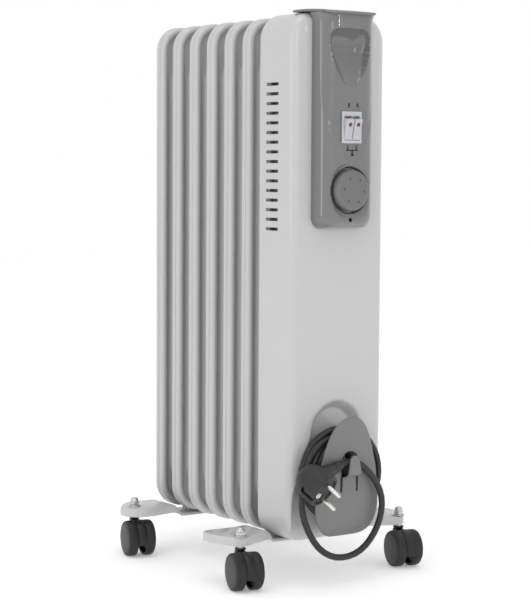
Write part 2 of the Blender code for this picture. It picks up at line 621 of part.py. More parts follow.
def make_hood(name):
    """The piece between the two wheels: a round web, a socket for the stem and a collar on top."""
    radius = WHEEL_RADIUS - 0.0008
    arc = [math.radians(-18 + 216 * i / 12) for i in range(13)]
    outline = [(CASTER_TRAIL + radius * math.cos(a), WHEEL_RADIUS + radius * math.sin(a)) for a in arc]
    hood = add_object(name, prism(name, outline, -HOOD_WIDTH / 2, HOOD_WIDTH / 2, "y"), HOOD_BLACK)
    join(hood, block("socket", (-0.0052, -HOOD_WIDTH / 2 + 0.0001, 0.0150),
                     (0.008, HOOD_WIDTH / 2 - 0.0001, 0.0395)))
    join(hood, rod("collar", 0.0058, 0.0022, 12), (0, 0, 0.0405))
    join(hood, rod("neck", 0.0044, 0.010, 12), (0, 0, 0.0320))
    cut(hood, rod("stem bore", STEM_RADIUS + 0.00015, 0.03, 16), (0, 0, 0.0245))
    cut(hood, rod("axle hole", AXLE_RADIUS + GAP, 0.03, 12), (CASTER_TRAIL, -0.015, WHEEL_RADIUS), TO_Y)
    return hood


# ---------------------------------------------------------------- cord, its holder and its plug
def holder_x(y_share, z):
    """Front of the holder plate: it leans outward to the top and curls back at its bottom and edges."""
    curl = max(0.0, (0.0622 - z) / 0.0116)
    flare = max(0.0, (z - 0.142) / 0.036)
    return RECESS_FLOOR + 0.0306 + 0.05 * (z - 0.063) + 0.003 * flare ** 2 - 0.007 * curl ** 2 \
        - 0.0024 * y_share ** 2


def holder_outline():
    """Half of the plate's bullet shape from the middle of its bottom to its top."""
    half = [(0.0, 0.0506), (0.020, 0.0512), (0.031, 0.0550), (0.0385, 0.0640), (0.0412, 0.0760),
            (0.0412, 0.0900), (0.0385, 0.1100), (0.0345, 0.1300), (0.0295, 0.1480), (0.0230, 0.1630),
            (0.0145, 0.1735), (0.0060, 0.1778)]
    return half + [(0.0, 0.1786)] + [(-y, z) for y, z in reversed(half[1:])]


def make_holder():
    middle = 0.108
    outline = holder_outline()

    def loop(share, back):
        return [(holder_x(share, middle + (z - middle) * share) - back, y * share,
                 middle + (z - middle) * share) for y, z in outline]

    shares = (1.0, 0.93, 0.70, 0.40)
    loops = [loop(share, 0.003) for share in reversed(shares)] + [loop(share, 0.0) for share in shares]
    plate = add_object("cord_holder_plate", skin("cord_holder_plate", loops), PANEL_GREY)
    arch = [math.radians(22.5 * i) for i in range(1, 8)]
    opening = [(0.0117, 0.1148), (0.0117, 0.1310)]
    opening += [(0.0117 * math.cos(angle), 0.1310 + 0.0115 * math.sin(angle)) for angle in arch]
    opening += [(-0.0117, 0.1310), (-0.0117, 0.1148)]
    cut(plate, prism("clip opening", opening, RECESS_FLOOR + 0.015, RECESS_FLOOR + 0.060))
    for side in (-1, 1):
        cut(plate, block("slot", (RECESS_FLOOR + 0.015, side * 0.0105 - 0.0012, 0.0985),
                         (RECESS_FLOOR + 0.060, side * 0.0105 + 0.0012, 0.1152)))
    back = TONGUE_FRONT - 0.0022
    root = holder_x(0, 0.1148) - 0.0022
    tongue = [(root, 0.1112), (root, 0.1147), (back - 0.0016, 0.1180), (back, 0.1200), (back, 0.1366),
              (TONGUE_FRONT, 0.1366), (TONGUE_FRONT, 0.1190), (TONGUE_FRONT - 0.0022, 0.1158)]
    join(plate, prism("tongue", tongue, -0.0088, 0.0088, "y"))

    hub_length = holder_x(0.3, COIL_Z) - 0.003 - 0.0026 - RECESS_FLOOR
    hub = add_object("cord_holder_hub", lathe_ring("cord_holder_hub", [
        (0.0140, 0.0), (HOLDER_HUB_RADIUS, 0.0), (HOLDER_HUB_RADIUS, hub_length), (0.0140, hub_length)], 24),
        PANEL_GREY, (RECESS_FLOOR + GAP, 0, COIL_Z), TO_X)
    hub.location = (0, 0, 0)
    hub.rotation_euler = (0, 0, 0)
    hub.data.transform(Matrix.Translation((RECESS_FLOOR + GAP, 0, COIL_Z))
                       @ Matrix.Rotation(math.pi / 2, 4, "Y"))
    cut(hub, relief_mesh("cord outlet", -0.25, 1.35, 0.0006))


def first_bend(share):
    """Where the lead runs as it leaves the hub: a wide arc that starts on the hub's tangent."""
    start = math.radians(-30)
    angle = start + share * RELIEF_LENGTH / FIRST_BEND
    offset = HOLDER_HUB_RADIUS - FIRST_BEND
    return Vector((COVER_FRONT - 0.0021, offset * math.cos(start) + FIRST_BEND * math.cos(angle),
                   COIL_Z + offset * math.sin(start) + FIRST_BEND * math.sin(angle)))


def relief_mesh(name, first, last, clearance):
    """The tapered sleeve along the lead's first bend, or its clearance shape."""
    steps, sides = 8, 12
    rings = []
    for step in range(steps + 1):
        share = first + (last - first) * step / steps
        centre = first_bend(share)
        upward = (first_bend(share + 0.01) - centre).normalized().cross(Vector((1, 0, 0)))
        radius = RELIEF_BASE - (RELIEF_BASE - RELIEF_TIP) * min(max(share, 0.0), 1.0) + clearance
        rings.append([centre + radius * (math.cos(a) * Vector((1, 0, 0)) + math.sin(a) * upward)
                      for a in (2 * math.pi * i / sides for i in range(sides))])
    return skin(name, rings)


def make_cord():
    coil = lathe_ring("cord_coil", [(COIL_INNER, 0.0), (COIL_OUTER, 0.0),
                                    (COIL_OUTER, COIL_FRONT - COIL_BACK), (COIL_INNER, COIL_FRONT - COIL_BACK)], 32)
    add_object("cord_coil", coil, CORD_BLACK, (COIL_BACK, 0, COIL_Z), TO_X)
    add_object("cord_strain_relief", relief_mesh("cord_strain_relief", 0.0, 1.0, 0.0), CORD_BLACK)


# The free stretch of the lead, from the coil's last turn round to the plug's neck.
LOOP_ROUTE = [(0.1290, -0.0542, 0.0980), (0.1305, -0.0556, 0.0850),
              (0.1341, -0.0525, 0.0660), (0.1371, -0.0425, 0.0465), (0.1391, -0.0300, 0.0350),
              (0.1408, -0.0145, 0.0293), (0.1421, 0.0045, 0.0305), (0.1434, 0.0205, 0.0392),
              (0.1444, 0.0340, 0.0560), (0.1449, 0.0405, 0.0750), (0.1450, 0.0395, 0.0930),
              (0.1452, 0.0310, 0.1085), (0.1453, 0.0200, 0.1205), (0.1449, 0.0100, 0.1280),
              (0.1446, 0.0005, 0.1315), (0.1448, -0.0085, 0.1312)]

PLUG_FACE = Vector((0.1697, -0.0552, 0.1074))
PIN_DIRECTION = Vector((0.796, 0.271, -0.542)).normalized()
PIN_LINE = (Vector((-0.584, 0.110, -0.804)) - Vector((-0.584, 0.110, -0.804)).dot(PIN_DIRECTION)
            * PIN_DIRECTION).normalized()
NECK_DIRECTION = PIN_DIRECTION.cross(PIN_LINE)
PLUG_RADIUS = 0.0192
PIN_SPACING = 0.019
NECK_REACH = 0.046


def plug_frame(along, across, side):
    """A point of the plug from distances along its pins, along the line of the pins and towards the neck."""
    return PLUG_FACE + along * PIN_DIRECTION + across * PIN_LINE + side * NECK_DIRECTION


def make_plug():
    tilt = Matrix((PIN_LINE, NECK_DIRECTION, PIN_DIRECTION)).transposed().to_euler()
    body = turned("plug_body", [(0, 0.0), (0.0165, 0.0), (PLUG_RADIUS, -0.002), (PLUG_RADIUS, -0.016),
                                (0.0165, -0.026), (0.0110, -0.0325), (0, -0.034)], 20)
    plug = add_object("plug_body", body, PLUG_BLACK, PLUG_FACE, tilt)
    neck = turned("plug_neck", [(0, NECK_REACH), (0.0040, NECK_REACH), (0.0058, 0.034), (0.0085, 0.020), (0.0090, 0.0),
                                (0, 0.0)], 12)
    join(plug, neck, plug_frame(-0.020, 0, 0), facing(NECK_DIRECTION))
    for side in (-1, 1):
        base = plug_frame(-0.008, side * PIN_SPACING / 2, 0)
        cut(plug, rod("pin hole", 0.0024 + GAP, 0.02, 16), base, facing(PIN_DIRECTION))
        cut(plug, block("clip groove", (-0.0036, side * 0.0180 - 0.0030, -0.0165),
                        (0.0036, side * 0.0180 + 0.0030, 0.001)), PLUG_FACE, tilt)
    pin = turned("pin", [(0, 0.0265), (0.0012, 0.0265), (0.0024, 0.0240), (0.0024, 0.0), (0, 0.0)], 14)
    for side, letter in ((-1, "a"), (1, "b")):
        base = plug_frame(-0.0075, side * PIN_SPACING / 2, 0)
        add_object(f"plug_pin_{letter}", pin, ZINC, base, facing(PIN_DIRECTION))
        clip = block("clip", (-0.0030, side * 0.0168 - 0.0007, -0.0160),
                     (0.0030, side * 0.0168 + 0.0007, -0.0012))
        add_object(f"plug_earth_clip_{letter}", clip, ZINC, PLUG_FACE, tilt)


make_fins()
make_cover()
make_works()
make_panel()
make_switch()
make_thermostat()
make_feet()
make_casters()
make_holder()
make_cord()
make_plug()
LOOP_ROUTE.append(plug_frame(-0.020, 0, NECK_REACH + GAP))
tube("cord_loop", smooth_route(LOOP_ROUTE, 0.012), CORD_DIAMETER / 2, CORD_BLACK)
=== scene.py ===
# %% [markdown]
# # Oil filled radiator heater
# Seven pressed steel fins stand in a row on two rolled feet with casters. A sheet metal cover closes
# the control end, and carries a grey moulded panel, a switch, a thermostat knob and a holder for the
# mains lead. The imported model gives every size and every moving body, so this lesson only builds the
# surfaces that the eye meets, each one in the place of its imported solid.

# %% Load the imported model
import math

import bmesh
import bpy
import numpy as np
from mathutils import Matrix, Vector


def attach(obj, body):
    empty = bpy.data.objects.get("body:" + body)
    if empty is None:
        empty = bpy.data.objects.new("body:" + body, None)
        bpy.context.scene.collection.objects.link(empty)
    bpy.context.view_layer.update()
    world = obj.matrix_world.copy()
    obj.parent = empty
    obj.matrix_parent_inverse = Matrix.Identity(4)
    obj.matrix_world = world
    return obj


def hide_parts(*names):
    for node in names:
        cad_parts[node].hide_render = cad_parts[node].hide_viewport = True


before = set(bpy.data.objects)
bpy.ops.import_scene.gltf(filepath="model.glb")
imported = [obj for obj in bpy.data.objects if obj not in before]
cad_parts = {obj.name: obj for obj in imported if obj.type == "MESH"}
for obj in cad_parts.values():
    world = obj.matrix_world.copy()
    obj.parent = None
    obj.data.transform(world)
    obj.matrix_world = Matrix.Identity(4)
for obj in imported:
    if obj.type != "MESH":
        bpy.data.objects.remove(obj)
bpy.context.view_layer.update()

# %% [markdown]
# ## The camera
# A long lens from two metres away keeps the uprights nearly parallel. The camera stands a little above
# the middle of the heater's height, about 35 degrees round from its control end, and looks slightly
# down.

# %% Camera
CAMERA_PLACE = (1.66634, -1.20288, 0.44182)
CAMERA_RIGHT = (0.58144, 0.81356, 0.00599)
CAMERA_UP = (-0.06169, 0.03675, 0.99742)
CAMERA_BACK = (0.81124, -0.58031, 0.07156)
LENS_MM = 110.49

scene = bpy.context.scene
lens = bpy.data.cameras.new("camera")
lens.lens = LENS_MM
lens.sensor_width = 36.0
camera = bpy.data.objects.new("camera", lens)
turn = Matrix((CAMERA_RIGHT, CAMERA_UP, CAMERA_BACK)).transposed().to_4x4()
camera.matrix_world = Matrix.Translation(CAMERA_PLACE) @ turn
scene.collection.objects.link(camera)
scene.camera = camera
scene.view_settings.view_transform = "Standard"
print("camera", tuple(round(v, 3) for v in camera.location), lens.lens, "mm")

# %% [markdown]
# ## Small tools
# A *loft* joins rings of points that all have the same count. Most pressed and moulded pieces here
# are lofts, because a press or a mould leaves one flowing skin. A *lathe* spins a profile, which suits
# knobs, wheels and nuts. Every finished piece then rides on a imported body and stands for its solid.

# %% Points, rings and skins
MM = 0.001
SMOOTH_ANGLE = 35
SMALLEST_CORNER = 0.0004


def smooth_line(points, count):
    """Evenly spaced points on a smooth curve through the given ones."""
    knots = [Vector(p) for p in points]
    knots = [2 * knots[0] - knots[1]] + knots + [2 * knots[-1] - knots[-2]]
    fine = []
    for a, b, c, d in zip(knots, knots[1:], knots[2:], knots[3:]):
        for step in range(16):
            t = step / 16
            fine.append(0.5 * (2 * b + (c - a) * t + (2 * a - 5 * b + 4 * c - d) * t ** 2
                               + (3 * b - a - 3 * c + d) * t ** 3))
    fine.append(knots[-2])
    walked = np.concatenate([[0], np.cumsum([(q - p).length for p, q in zip(fine, fine[1:])])])
    wanted = np.linspace(0, walked[-1], count)
    rows = np.array([tuple(p) for p in fine])
    return [Vector([np.interp(w, walked, rows[:, i]) for i in range(rows.shape[1])]) for w in wanted]


def eased(t):
    """0 to 1 with soft ends."""
    t = np.clip(t, 0.0, 1.0)
    return t * t * (3 - 2 * t)


def to_mesh(bm, name, smooth_angle=SMOOTH_ANGLE):
    """A mesh from a bmesh: faces outward, smooth except at real edges."""
    bmesh.ops.remove_doubles(bm, verts=bm.verts, dist=1e-6)
    bmesh.ops.recalc_face_normals(bm, faces=bm.faces)
    mesh = bpy.data.meshes.new(name)
    bm.to_mesh(mesh)
    bm.free()
    mesh.shade_smooth()
    mesh.set_sharp_from_angle(angle=math.radians(smooth_angle))
    return mesh


def loft(name, rings, ends=(True, True), smooth_angle=SMOOTH_ANGLE):
    """A skin over closed rings, with a face over either end."""
    bm = bmesh.new()
    rows = [[bm.verts.new(p) for p in ring] for ring in rings]
    for low, high in zip(rows, rows[1:]):
        for i in range(len(low)):
            j = (i + 1) % len(low)
            bm.faces.new((low[i], low[j], high[j], high[i]))
    if ends[0]:
        bm.faces.new(rows[0])
    if ends[1]:
        bm.faces.new(list(reversed(rows[-1])))
    return to_mesh(bm, name, smooth_angle)


def lathe(name, profile, segments=64, smooth_angle=SMOOTH_ANGLE, flute=None):
    """A profile of (radius, height) spun round z; flute(angle, radius, height) may change a radius."""
    rings = []
    for radius, height in profile:
        ring = []
        for i in range(segments):
            angle = 2 * math.pi * i / segments
            reach = max(radius, 0.00002)
            if flute:
                reach = flute(angle, reach, height)
            ring.append((reach * math.cos(angle), reach * math.sin(angle), height))
        rings.append(ring)
    return loft(name, rings, smooth_angle=smooth_angle)


def joined(name, meshes, last_slot=99):
    """Several (mesh, matrix) pairs as one mesh, each with the next material slot up to the last."""
    bm = bmesh.new()
    for slot_number, (mesh, place) in enumerate(meshes):
        start = len(bm.verts)
        first_face = len(bm.faces)
        bm.from_mesh(mesh)
        bm.verts.ensure_lookup_table()
        bm.faces.ensure_lookup_table()
        bmesh.ops.transform(bm, matrix=place, verts=bm.verts[start:])
        for face in bm.faces[first_face:]:
            face.material_index = min(slot_number, last_slot)
    result = bpy.data.meshes.new(name)
    bm.to_mesh(result)
    bm.free()
    result.shade_smooth()
    result.set_sharp_from_angle(angle=math.radians(SMOOTH_ANGLE))
    return result


def box_mesh(name, low, high, bevel=0.0):
    """A block with rounded edges."""
    bm = bmesh.new()
    bmesh.ops.create_cube(bm, size=1.0)
    size = Vector(high) - Vector(low)
    middle = (Vector(high) + Vector(low)) / 2
    for v in bm.verts:
        v.co = Vector(c * s for c, s in zip(v.co, size)) + middle
    if bevel:
        bmesh.ops.bevel(bm, geom=bm.edges[:], offset=bevel, segments=3, profile=0.6, affect="EDGES")
    return to_mesh(bm, name)


def carved(mesh, cutter_mesh, operation="DIFFERENCE"):
    """A mesh with a cutter taken away from it, or joined on."""
    body = bpy.data.objects.new("body", mesh)
    cutter = bpy.data.objects.new("cutter", cutter_mesh)
    for item in (body, cutter):
        scene.collection.objects.link(item)
    step = body.modifiers.new("carve", "BOOLEAN")
    step.operation = operation
    step.object = cutter
    step.solver = "EXACT"
    result = bpy.data.meshes.new_from_object(body.evaluated_get(bpy.context.evaluated_depsgraph_get()))
    for item in (body, cutter):
        bpy.data.objects.remove(item, do_unlink=True)
    result.name = mesh.name
    result.set_sharp_from_angle(angle=math.radians(SMOOTH_ANGLE))
    return result


def thickened(mesh, wall):
    """An open skin given a wall on its inner side."""
    item = bpy.data.objects.new("skin", mesh)
    scene.collection.objects.link(item)
    step = item.modifiers.new("wall", "SOLIDIFY")
    step.thickness = wall
    step.offset = -1
    result = bpy.data.meshes.new_from_object(item.evaluated_get(bpy.context.evaluated_depsgraph_get()))
    bpy.data.objects.remove(item, do_unlink=True)
    result.name = mesh.name
    return result


def outline(half_width, bottom, top, low_radius, high_radius, corner=8, base=(), side=()):
    """(y, z) round an upright rectangle with rounded corners; base and side place extra points."""
    low_radius, high_radius = max(low_radius, SMALLEST_CORNER), max(high_radius, SMALLEST_CORNER)
    corners = ((half_width - low_radius, bottom + low_radius, low_radius, -90),
               (half_width - high_radius, top - high_radius, high_radius, 0),
               (high_radius - half_width, top - high_radius, high_radius, 90),
               (low_radius - half_width, bottom + low_radius, low_radius, 180))
    arcs = []
    for y, z, radius, start in corners:
        angles = [math.radians(start + 90 * i / corner) for i in range(corner + 1)]
        arcs.append([(y + radius * math.cos(a), z + radius * math.sin(a)) for a in angles])
    stations = (side, base, [1 - s for s in reversed(side)], base)
    points = []
    for arc, following, places in zip(arcs, arcs[1:] + arcs[:1], stations):
        (y0, z0), (y1, z1) = arc[-1], following[0]
        points += arc + [(y0 + (y1 - y0) * s, z0 + (z1 - z0) * s) for s in places]
    return points


def depth_inside(yz, border):
    """Distance of points from a closed border, positive inside it."""
    p = np.asarray(yz)[:, None, :]
    a = np.asarray(border)[None]
    b = np.roll(a, -1, axis=1)
    ab = b - a
    t = np.clip(((p - a) * ab).sum(2) / np.maximum((ab ** 2).sum(2), 1e-12), 0, 1)
    distance = np.linalg.norm(p - (a + t[..., None] * ab), axis=2).min(1)
    crosses = (a[..., 1] > p[..., 1]) != (b[..., 1] > p[..., 1])
    slope = np.where(np.abs(ab[..., 1]) > 1e-12, ab[..., 1], 1e-12)
    left = p[..., 0] < a[..., 0] + (p[..., 1] - a[..., 1]) * ab[..., 0] / slope
    inside = (crosses & left).sum(1) % 2 == 1
    return np.where(inside, distance, -distance)


def piece(name, data, material, body="heater", replaces=(), place=None):
    """One finished piece: linked, painted, riding on a body and standing for its solids."""
    item = bpy.data.objects.new(name, data)
    if place is not None:
        item.matrix_world = place
    scene.collection.objects.link(item)
    for paint in material if isinstance(material, list) else [material]:
        if len(data.materials) < (len(material) if isinstance(material, list) else 1):
            data.materials.append(paint)
    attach(item, body)
    if replaces:
        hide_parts(*replaces)
    return item


TO_X = Matrix.Rotation(math.pi / 2, 4, "Y")


def at(x=0.0, y=0.0, z=0.0, turned=None):
    place = Matrix.Translation((x, y, z))
    return place @ turned if turned is not None else place


def turns(count):
    """Angles evenly round a full circle."""
    return [2 * math.pi * i / count for i in range(count)]


print("tools ready")

# %% [markdown]
# ## Colour and nodes
# Hex colours are written in sRGB, as a paint card gives them, and shaders want linear light. One
# function converts, and one small function adds a node with its settings and links.

# %% Colour and node helpers


def linear(hex_colour):
    """sRGB hex to linear RGBA."""
    values = [int(hex_colour[i:i + 2], 16) / 255 for i in (0, 2, 4)]
    return tuple(v / 12.92 if v <= 0.04045 else ((v + 0.055) / 1.055) ** 2.4 for v in values) + (1.0,)


def add_node(tree, kind, settings=None, **links):
    """A node with its settings; links are socket values or other nodes' outputs, _ for a space."""
    node = tree.nodes.new("ShaderNode" + kind)
    for key, value in (settings or {}).items():
        setattr(node, key, value)
    for key, value in links.items():
        socket = node.inputs[int(key[1:])] if key[0] == "_" else node.inputs[key.replace("_", " ")]
        if isinstance(value, bpy.types.NodeSocket):
            tree.links.new(value, socket)
        else:
            socket.default_value = value
    return node


def start_material(name, **sockets):
    """A Principled material, its tree, its shader and object coordinates in metres."""
    paint = bpy.data.materials.new(name)
    paint.use_nodes = True
    tree = paint.node_tree
    shader = tree.nodes["Principled BSDF"]
    for key, value in sockets.items():
        shader.inputs[key.replace("_", " ")].default_value = value
    place = add_node(tree, "TexCoord").outputs["Object"]
    return paint, tree, shader, place


def varied_colour(tree, shader, factor, first, second):
    """Base colour that drifts between two hex colours with a texture."""
    ramp = add_node(tree, "Mix", {"data_type": "RGBA"}, Factor=factor)
    ramp.inputs[6].default_value = linear(first)
    ramp.inputs[7].default_value = linear(second)
    tree.links.new(ramp.outputs[2], shader.inputs["Base Color"])


def varied_roughness(tree, shader, factor, low, high):
    """Roughness that drifts between two values with a texture."""
    span = add_node(tree, "MapRange", None, Value=factor, To_Min=low, To_Max=high)
    tree.links.new(span.outputs["Result"], shader.inputs["Roughness"])


def bumped(tree, shader, height, distance, strength=1.0):
    """Surface relief from a texture; distance is the real height in metres."""
    relief = add_node(tree, "Bump", None, Height=height, Distance=distance, Strength=strength)
    tree.links.new(relief.outputs["Normal"], shader.inputs["Normal"])


print("linear D2D2D2", tuple(round(v, 3) for v in linear("D2D2D2")))

# %% [markdown]
# ## Stoved enamel on pressed steel
# The fins, the cover and the feet are mild steel, degreased, powder sprayed and baked. The baked film
# levels out to a semi-gloss skin with a faint orange peel, a ripple three millimetres across and some
# ten microns high. The eye reads it as a soft, slightly wavy highlight.

# %% Enamel
ENAMEL_IOR = 1.5
PEEL_MM = 3.0
PEEL_RELIEF = 0.00002


def enamel(name, light, dark, roughness):
    paint, tree, shader, place = start_material(name, IOR=ENAMEL_IOR, Coat_Weight=0.6, Coat_Roughness=0.06)
    cloud = add_node(tree, "TexNoise", None, Vector=place, Scale=9.0, Detail=3.0)
    peel = add_node(tree, "TexNoise", None, Vector=place, Scale=1 / (PEEL_MM * MM), Detail=1.5)
    varied_colour(tree, shader, cloud.outputs["Fac"], dark, light)
    varied_roughness(tree, shader, cloud.outputs["Fac"], roughness - 0.04, roughness + 0.04)
    bumped(tree, shader, peel.outputs["Fac"], PEEL_RELIEF, 0.5)
    return paint


FIN_ENAMEL = enamel("stoved enamel on the fins", "C2C2C2", "BEBEBE", 0.34)
COVER_ENAMEL = enamel("stoved enamel on the cover", "C3C3C3", "BFBFBF", 0.33)
FOOT_ENAMEL = enamel("powder coat on the feet", "C6C6C6", "BFBFBF", 0.42)
print("enamel", FIN_ENAMEL.name, COVER_ENAMEL.name, FOOT_ENAMEL.name)

# %% [markdown]
# ## Moulded ABS and other plastics
# The panel, the knob and the lead's holder are injection moulded ABS in a mid grey. The mould is
# polished for the panel, so it shows crisp reflections over a barely visible flow pattern, and spark
# eroded for the holder, whose fine grain scatters the light. The casters are polypropylene, darker and
# waxier, the switch is white ABS, and the indicator dots are tinted polycarbonate.

# %% Plastics
ABS_IOR = 1.53
POLYPROPYLENE_IOR = 1.49
PVC_IOR = 1.53
POLISHED = 0.00001
GRAINED = 0.00002
PRINTED = 0.000005


def plastic(name, light, dark, roughness, ior, grain_mm, relief, coat=0.0):
    paint, tree, shader, place = start_material(name, IOR=ior, Coat_Weight=coat, Coat_Roughness=0.04)
    flow = add_node(tree, "TexNoise", None, Vector=place, Scale=22.0, Detail=4.0)
    grain = add_node(tree, "TexNoise", None, Vector=place, Scale=1 / (grain_mm * MM), Detail=2.0)
    varied_colour(tree, shader, flow.outputs["Fac"], dark, light)
    varied_roughness(tree, shader, flow.outputs["Fac"], roughness - 0.04, roughness + 0.04)
    bumped(tree, shader, grain.outputs["Fac"], relief, 0.4)
    return paint


PANEL_ABS = plastic("polished grey ABS", "727272", "6C6C6C", 0.24, ABS_IOR, 1.2, POLISHED, coat=0.7)
KNOB_ABS = plastic("satin grey ABS", "707070", "6A6A6A", 0.34, ABS_IOR, 0.8, POLISHED)
HOLDER_ABS = plastic("spark grained grey ABS", "7A7A7A", "737373", 0.42, ABS_IOR, 0.8, GRAINED)
SWITCH_ABS = plastic("white switch ABS", "C2C2C6", "BCBCC0", 0.30, ABS_IOR, 1.0, POLISHED)
ROCKER_ABS = plastic("white rocker ABS", "BEBEC2", "B6B6BA", 0.28, ABS_IOR, 1.0, POLISHED)
WHEEL_PP = plastic("black polypropylene tread", "191919", "151515", 0.50, POLYPROPYLENE_IOR, 0.9, GRAINED)
HUBCAP_PP = plastic("dark grey polypropylene disc", "2E2E2E", "282828", 0.46, POLYPROPYLENE_IOR, 0.9,
                    GRAINED)
HOOD_PP = plastic("black polypropylene hood", "171717", "131313", 0.46, POLYPROPYLENE_IOR, 0.9, GRAINED)
RED_LENS = plastic("red polycarbonate", "6E1428", "5E1020", 0.22, 1.58, 1.0, PRINTED)
DARK_INK = plastic("dark grey pad print", "2E2E2E", "282828", 0.60, 1.45, 0.5, PRINTED)
PHENOLIC = plastic("brown phenolic", "7E6E58", "72634E", 0.55, 1.6, 1.0, GRAINED)
print("plastics", PANEL_ABS.name, HOLDER_ABS.name, WHEEL_PP.name)

# %% [markdown]
# ## Flexible PVC
# The lead's jacket is extruded, so its satin surface has faint lengthwise drag lines too fine to see,
# drawn here as a soft mottling. The plug is moulded over the lead in a slightly rougher grade.

# %% PVC and rubber
CORD_PVC = plastic("extruded black PVC", "232323", "1E1E1E", 0.46, PVC_IOR, 1.5, GRAINED)
PLUG_PVC = plastic("moulded black PVC", "222222", "1D1D1D", 0.48, PVC_IOR, 1.2, GRAINED)
WIRE_SILICONE = plastic("grey silicone sleeving", "9A908B", "8C827E", 0.60, 1.41, 1.0, 0.00003)
print("pvc", CORD_PVC.name, PLUG_PVC.name)

# %% [markdown]
# ## Plated and bare metal
# Stems, nuts, U bolts and the plug's pins are steel or brass with a bright plate. Zinc passivate is
# never quite even, so its roughness wanders over a few millimetres. The element's sheath is drawn
# copper, with fine lines along the tube.

# %% Metals


def plated(name, light, dark, low, high, patch_mm):
    paint, tree, shader, place = start_material(name, Metallic=1.0)
    patch = add_node(tree, "TexNoise", None, Vector=place, Scale=1 / (patch_mm * MM), Detail=4.0)
    varied_colour(tree, shader, patch.outputs["Fac"], dark, light)
    varied_roughness(tree, shader, patch.outputs["Fac"], low, high)
    bumped(tree, shader, patch.outputs["Fac"], 0.00001, 0.3)
    return paint


ZINC = plated("bright zinc passivate", "D4D5D6", "BFC1C3", 0.22, 0.40, 4.0)
NICKEL = plated("nickel plated brass", "DCDAD6", "CFCDC8", 0.16, 0.28, 3.0)
# The earth clips' nickel has a near-black colour: painted shade for the shade in the clips' grooves, not a
# dull plate.
NICKEL_PAINTED_SHADE = plated("nickel spring darkened as painted shade", "5A5A5A", "4C4C4C", 0.45, 0.60, 3.0)
COPPER = plated("drawn copper", "C08058", "A86A46", 0.30, 0.45, 3.0)
print("metals", ZINC.name, NICKEL.name, COPPER.name)

# %% [markdown]
# ## The mains lead
# One lead, 1.5 m of 7 mm flex. It leaves the round spool of its holder on the spool's tangent through
# a tapered strain relief, winds four turns behind the holder plate, two side by side in two layers,
# and ends in a loose loop that hangs below the plate, comes up in front of it and passes behind its
# tongue to the plug.

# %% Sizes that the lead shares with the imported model
HALF_LENGTH = 0.1509
FIN_PITCH = 0.03464
RIM_HALF = 0.008
FIRST_FIN_X = RIM_HALF - HALF_LENGTH
LAST_FIN_X = FIRST_FIN_X + 6 * FIN_PITCH
COVER_REAR = LAST_FIN_X - 0.0042
COVER_FRONT = COVER_REAR + 0.0567
RECESS_DEPTH = 0.010
RECESS_FLOOR = COVER_FRONT - RECESS_DEPTH

CORD_DIAMETER = 0.007
COIL_Z = 0.115
SPOOL_RADIUS = 0.018
INNER_TURN = 0.042
OUTER_TURN = 0.049
BACK_LAYER = COVER_FRONT + 0.0004 + CORD_DIAMETER / 2
FRONT_LAYER = BACK_LAYER + CORD_DIAMETER + 0.0001
EXIT_X = COVER_FRONT - 0.0021
COIL_START = math.radians(150)
FIRST_BEND = 0.030
RELIEF_LENGTH = 0.020


def polar(x, radius, angle, centre=(0.0, 0.0)):
    return Vector((x, centre[0] + radius * math.cos(angle), COIL_Z + centre[1] + radius * math.sin(angle)))


def first_bend(share):
    """Half a circle from the spool's tangent, share 0, to the inner turn, share 1."""
    start = COIL_START - math.pi
    offset = SPOOL_RADIUS - FIRST_BEND
    centre = (offset * math.cos(start), offset * math.sin(start))
    return polar(EXIT_X + (BACK_LAYER - EXIT_X) * float(eased((share - 0.65) / 0.35)),
                 FIRST_BEND, start + math.pi * share, centre)


def coil_points():
    """Four turns: inner back, inner front, outer front, outer back; each moves over in its last part."""
    corners = [(INNER_TURN, BACK_LAYER), (INNER_TURN, FRONT_LAYER), (OUTER_TURN, FRONT_LAYER),
               (OUTER_TURN, BACK_LAYER), (OUTER_TURN, BACK_LAYER)]
    middle = ((INNER_TURN + OUTER_TURN) / 2, (BACK_LAYER + FRONT_LAYER) / 2)
    steps, moving = 36, 6
    points = []
    for number in range(4):
        (r0, x0), (r1, x1) = corners[number], corners[number + 1]
        for step in range(steps):
            t = max(0.0, (step - (steps - moving)) / moving)
            swell = (1.0 + 0.35 * math.sin(math.pi * t)) if (r0, x0) != (r1, x1) else 1.0
            radius = middle[0] + (r0 + (r1 - r0) * t - middle[0]) * swell
            x = middle[1] + (x0 + (x1 - x0) * t - middle[1]) * swell
            points.append(polar(x, radius, COIL_START + 2 * math.pi * (number + step / steps)))
    return points


LOOP_ROUTE = [(0.1290, -0.0542, 0.0980), (0.1305, -0.0556, 0.0850), (0.1341, -0.0525, 0.0660),
              (0.1371, -0.0425, 0.0465), (0.1391, -0.0300, 0.0350), (0.1408, -0.0145, 0.0293),
              (0.1421, 0.0045, 0.0305), (0.1434, 0.0205, 0.0392), (0.1444, 0.0340, 0.0560),
              (0.1449, 0.0405, 0.0750), (0.1450, 0.0395, 0.0930), (0.1452, 0.0310, 0.1085),
              (0.1453, 0.0200, 0.1205), (0.1449, 0.0100, 0.1280), (0.1446, 0.0005, 0.1315),
              (0.1448, -0.0085, 0.1312)]
PLUG_FACE = Vector((0.1697, -0.0552, 0.1074))
PIN_DIRECTION = Vector((0.796, 0.271, -0.542)).normalized()
PIN_LINE = Vector((-0.584, 0.110, -0.804))
PIN_LINE = (PIN_LINE - PIN_LINE.dot(PIN_DIRECTION) * PIN_DIRECTION).normalized()
NECK_DIRECTION = PIN_DIRECTION.cross(PIN_LINE)
NECK_REACH = 0.046


def plug_point(along, across, side):
    """A point of the plug from distances along its pins, across them and towards its neck."""
    return PLUG_FACE + along * PIN_DIRECTION + across * PIN_LINE + side * NECK_DIRECTION


print("coil layers at x", round(BACK_LAYER, 4), round(FRONT_LAYER, 4))

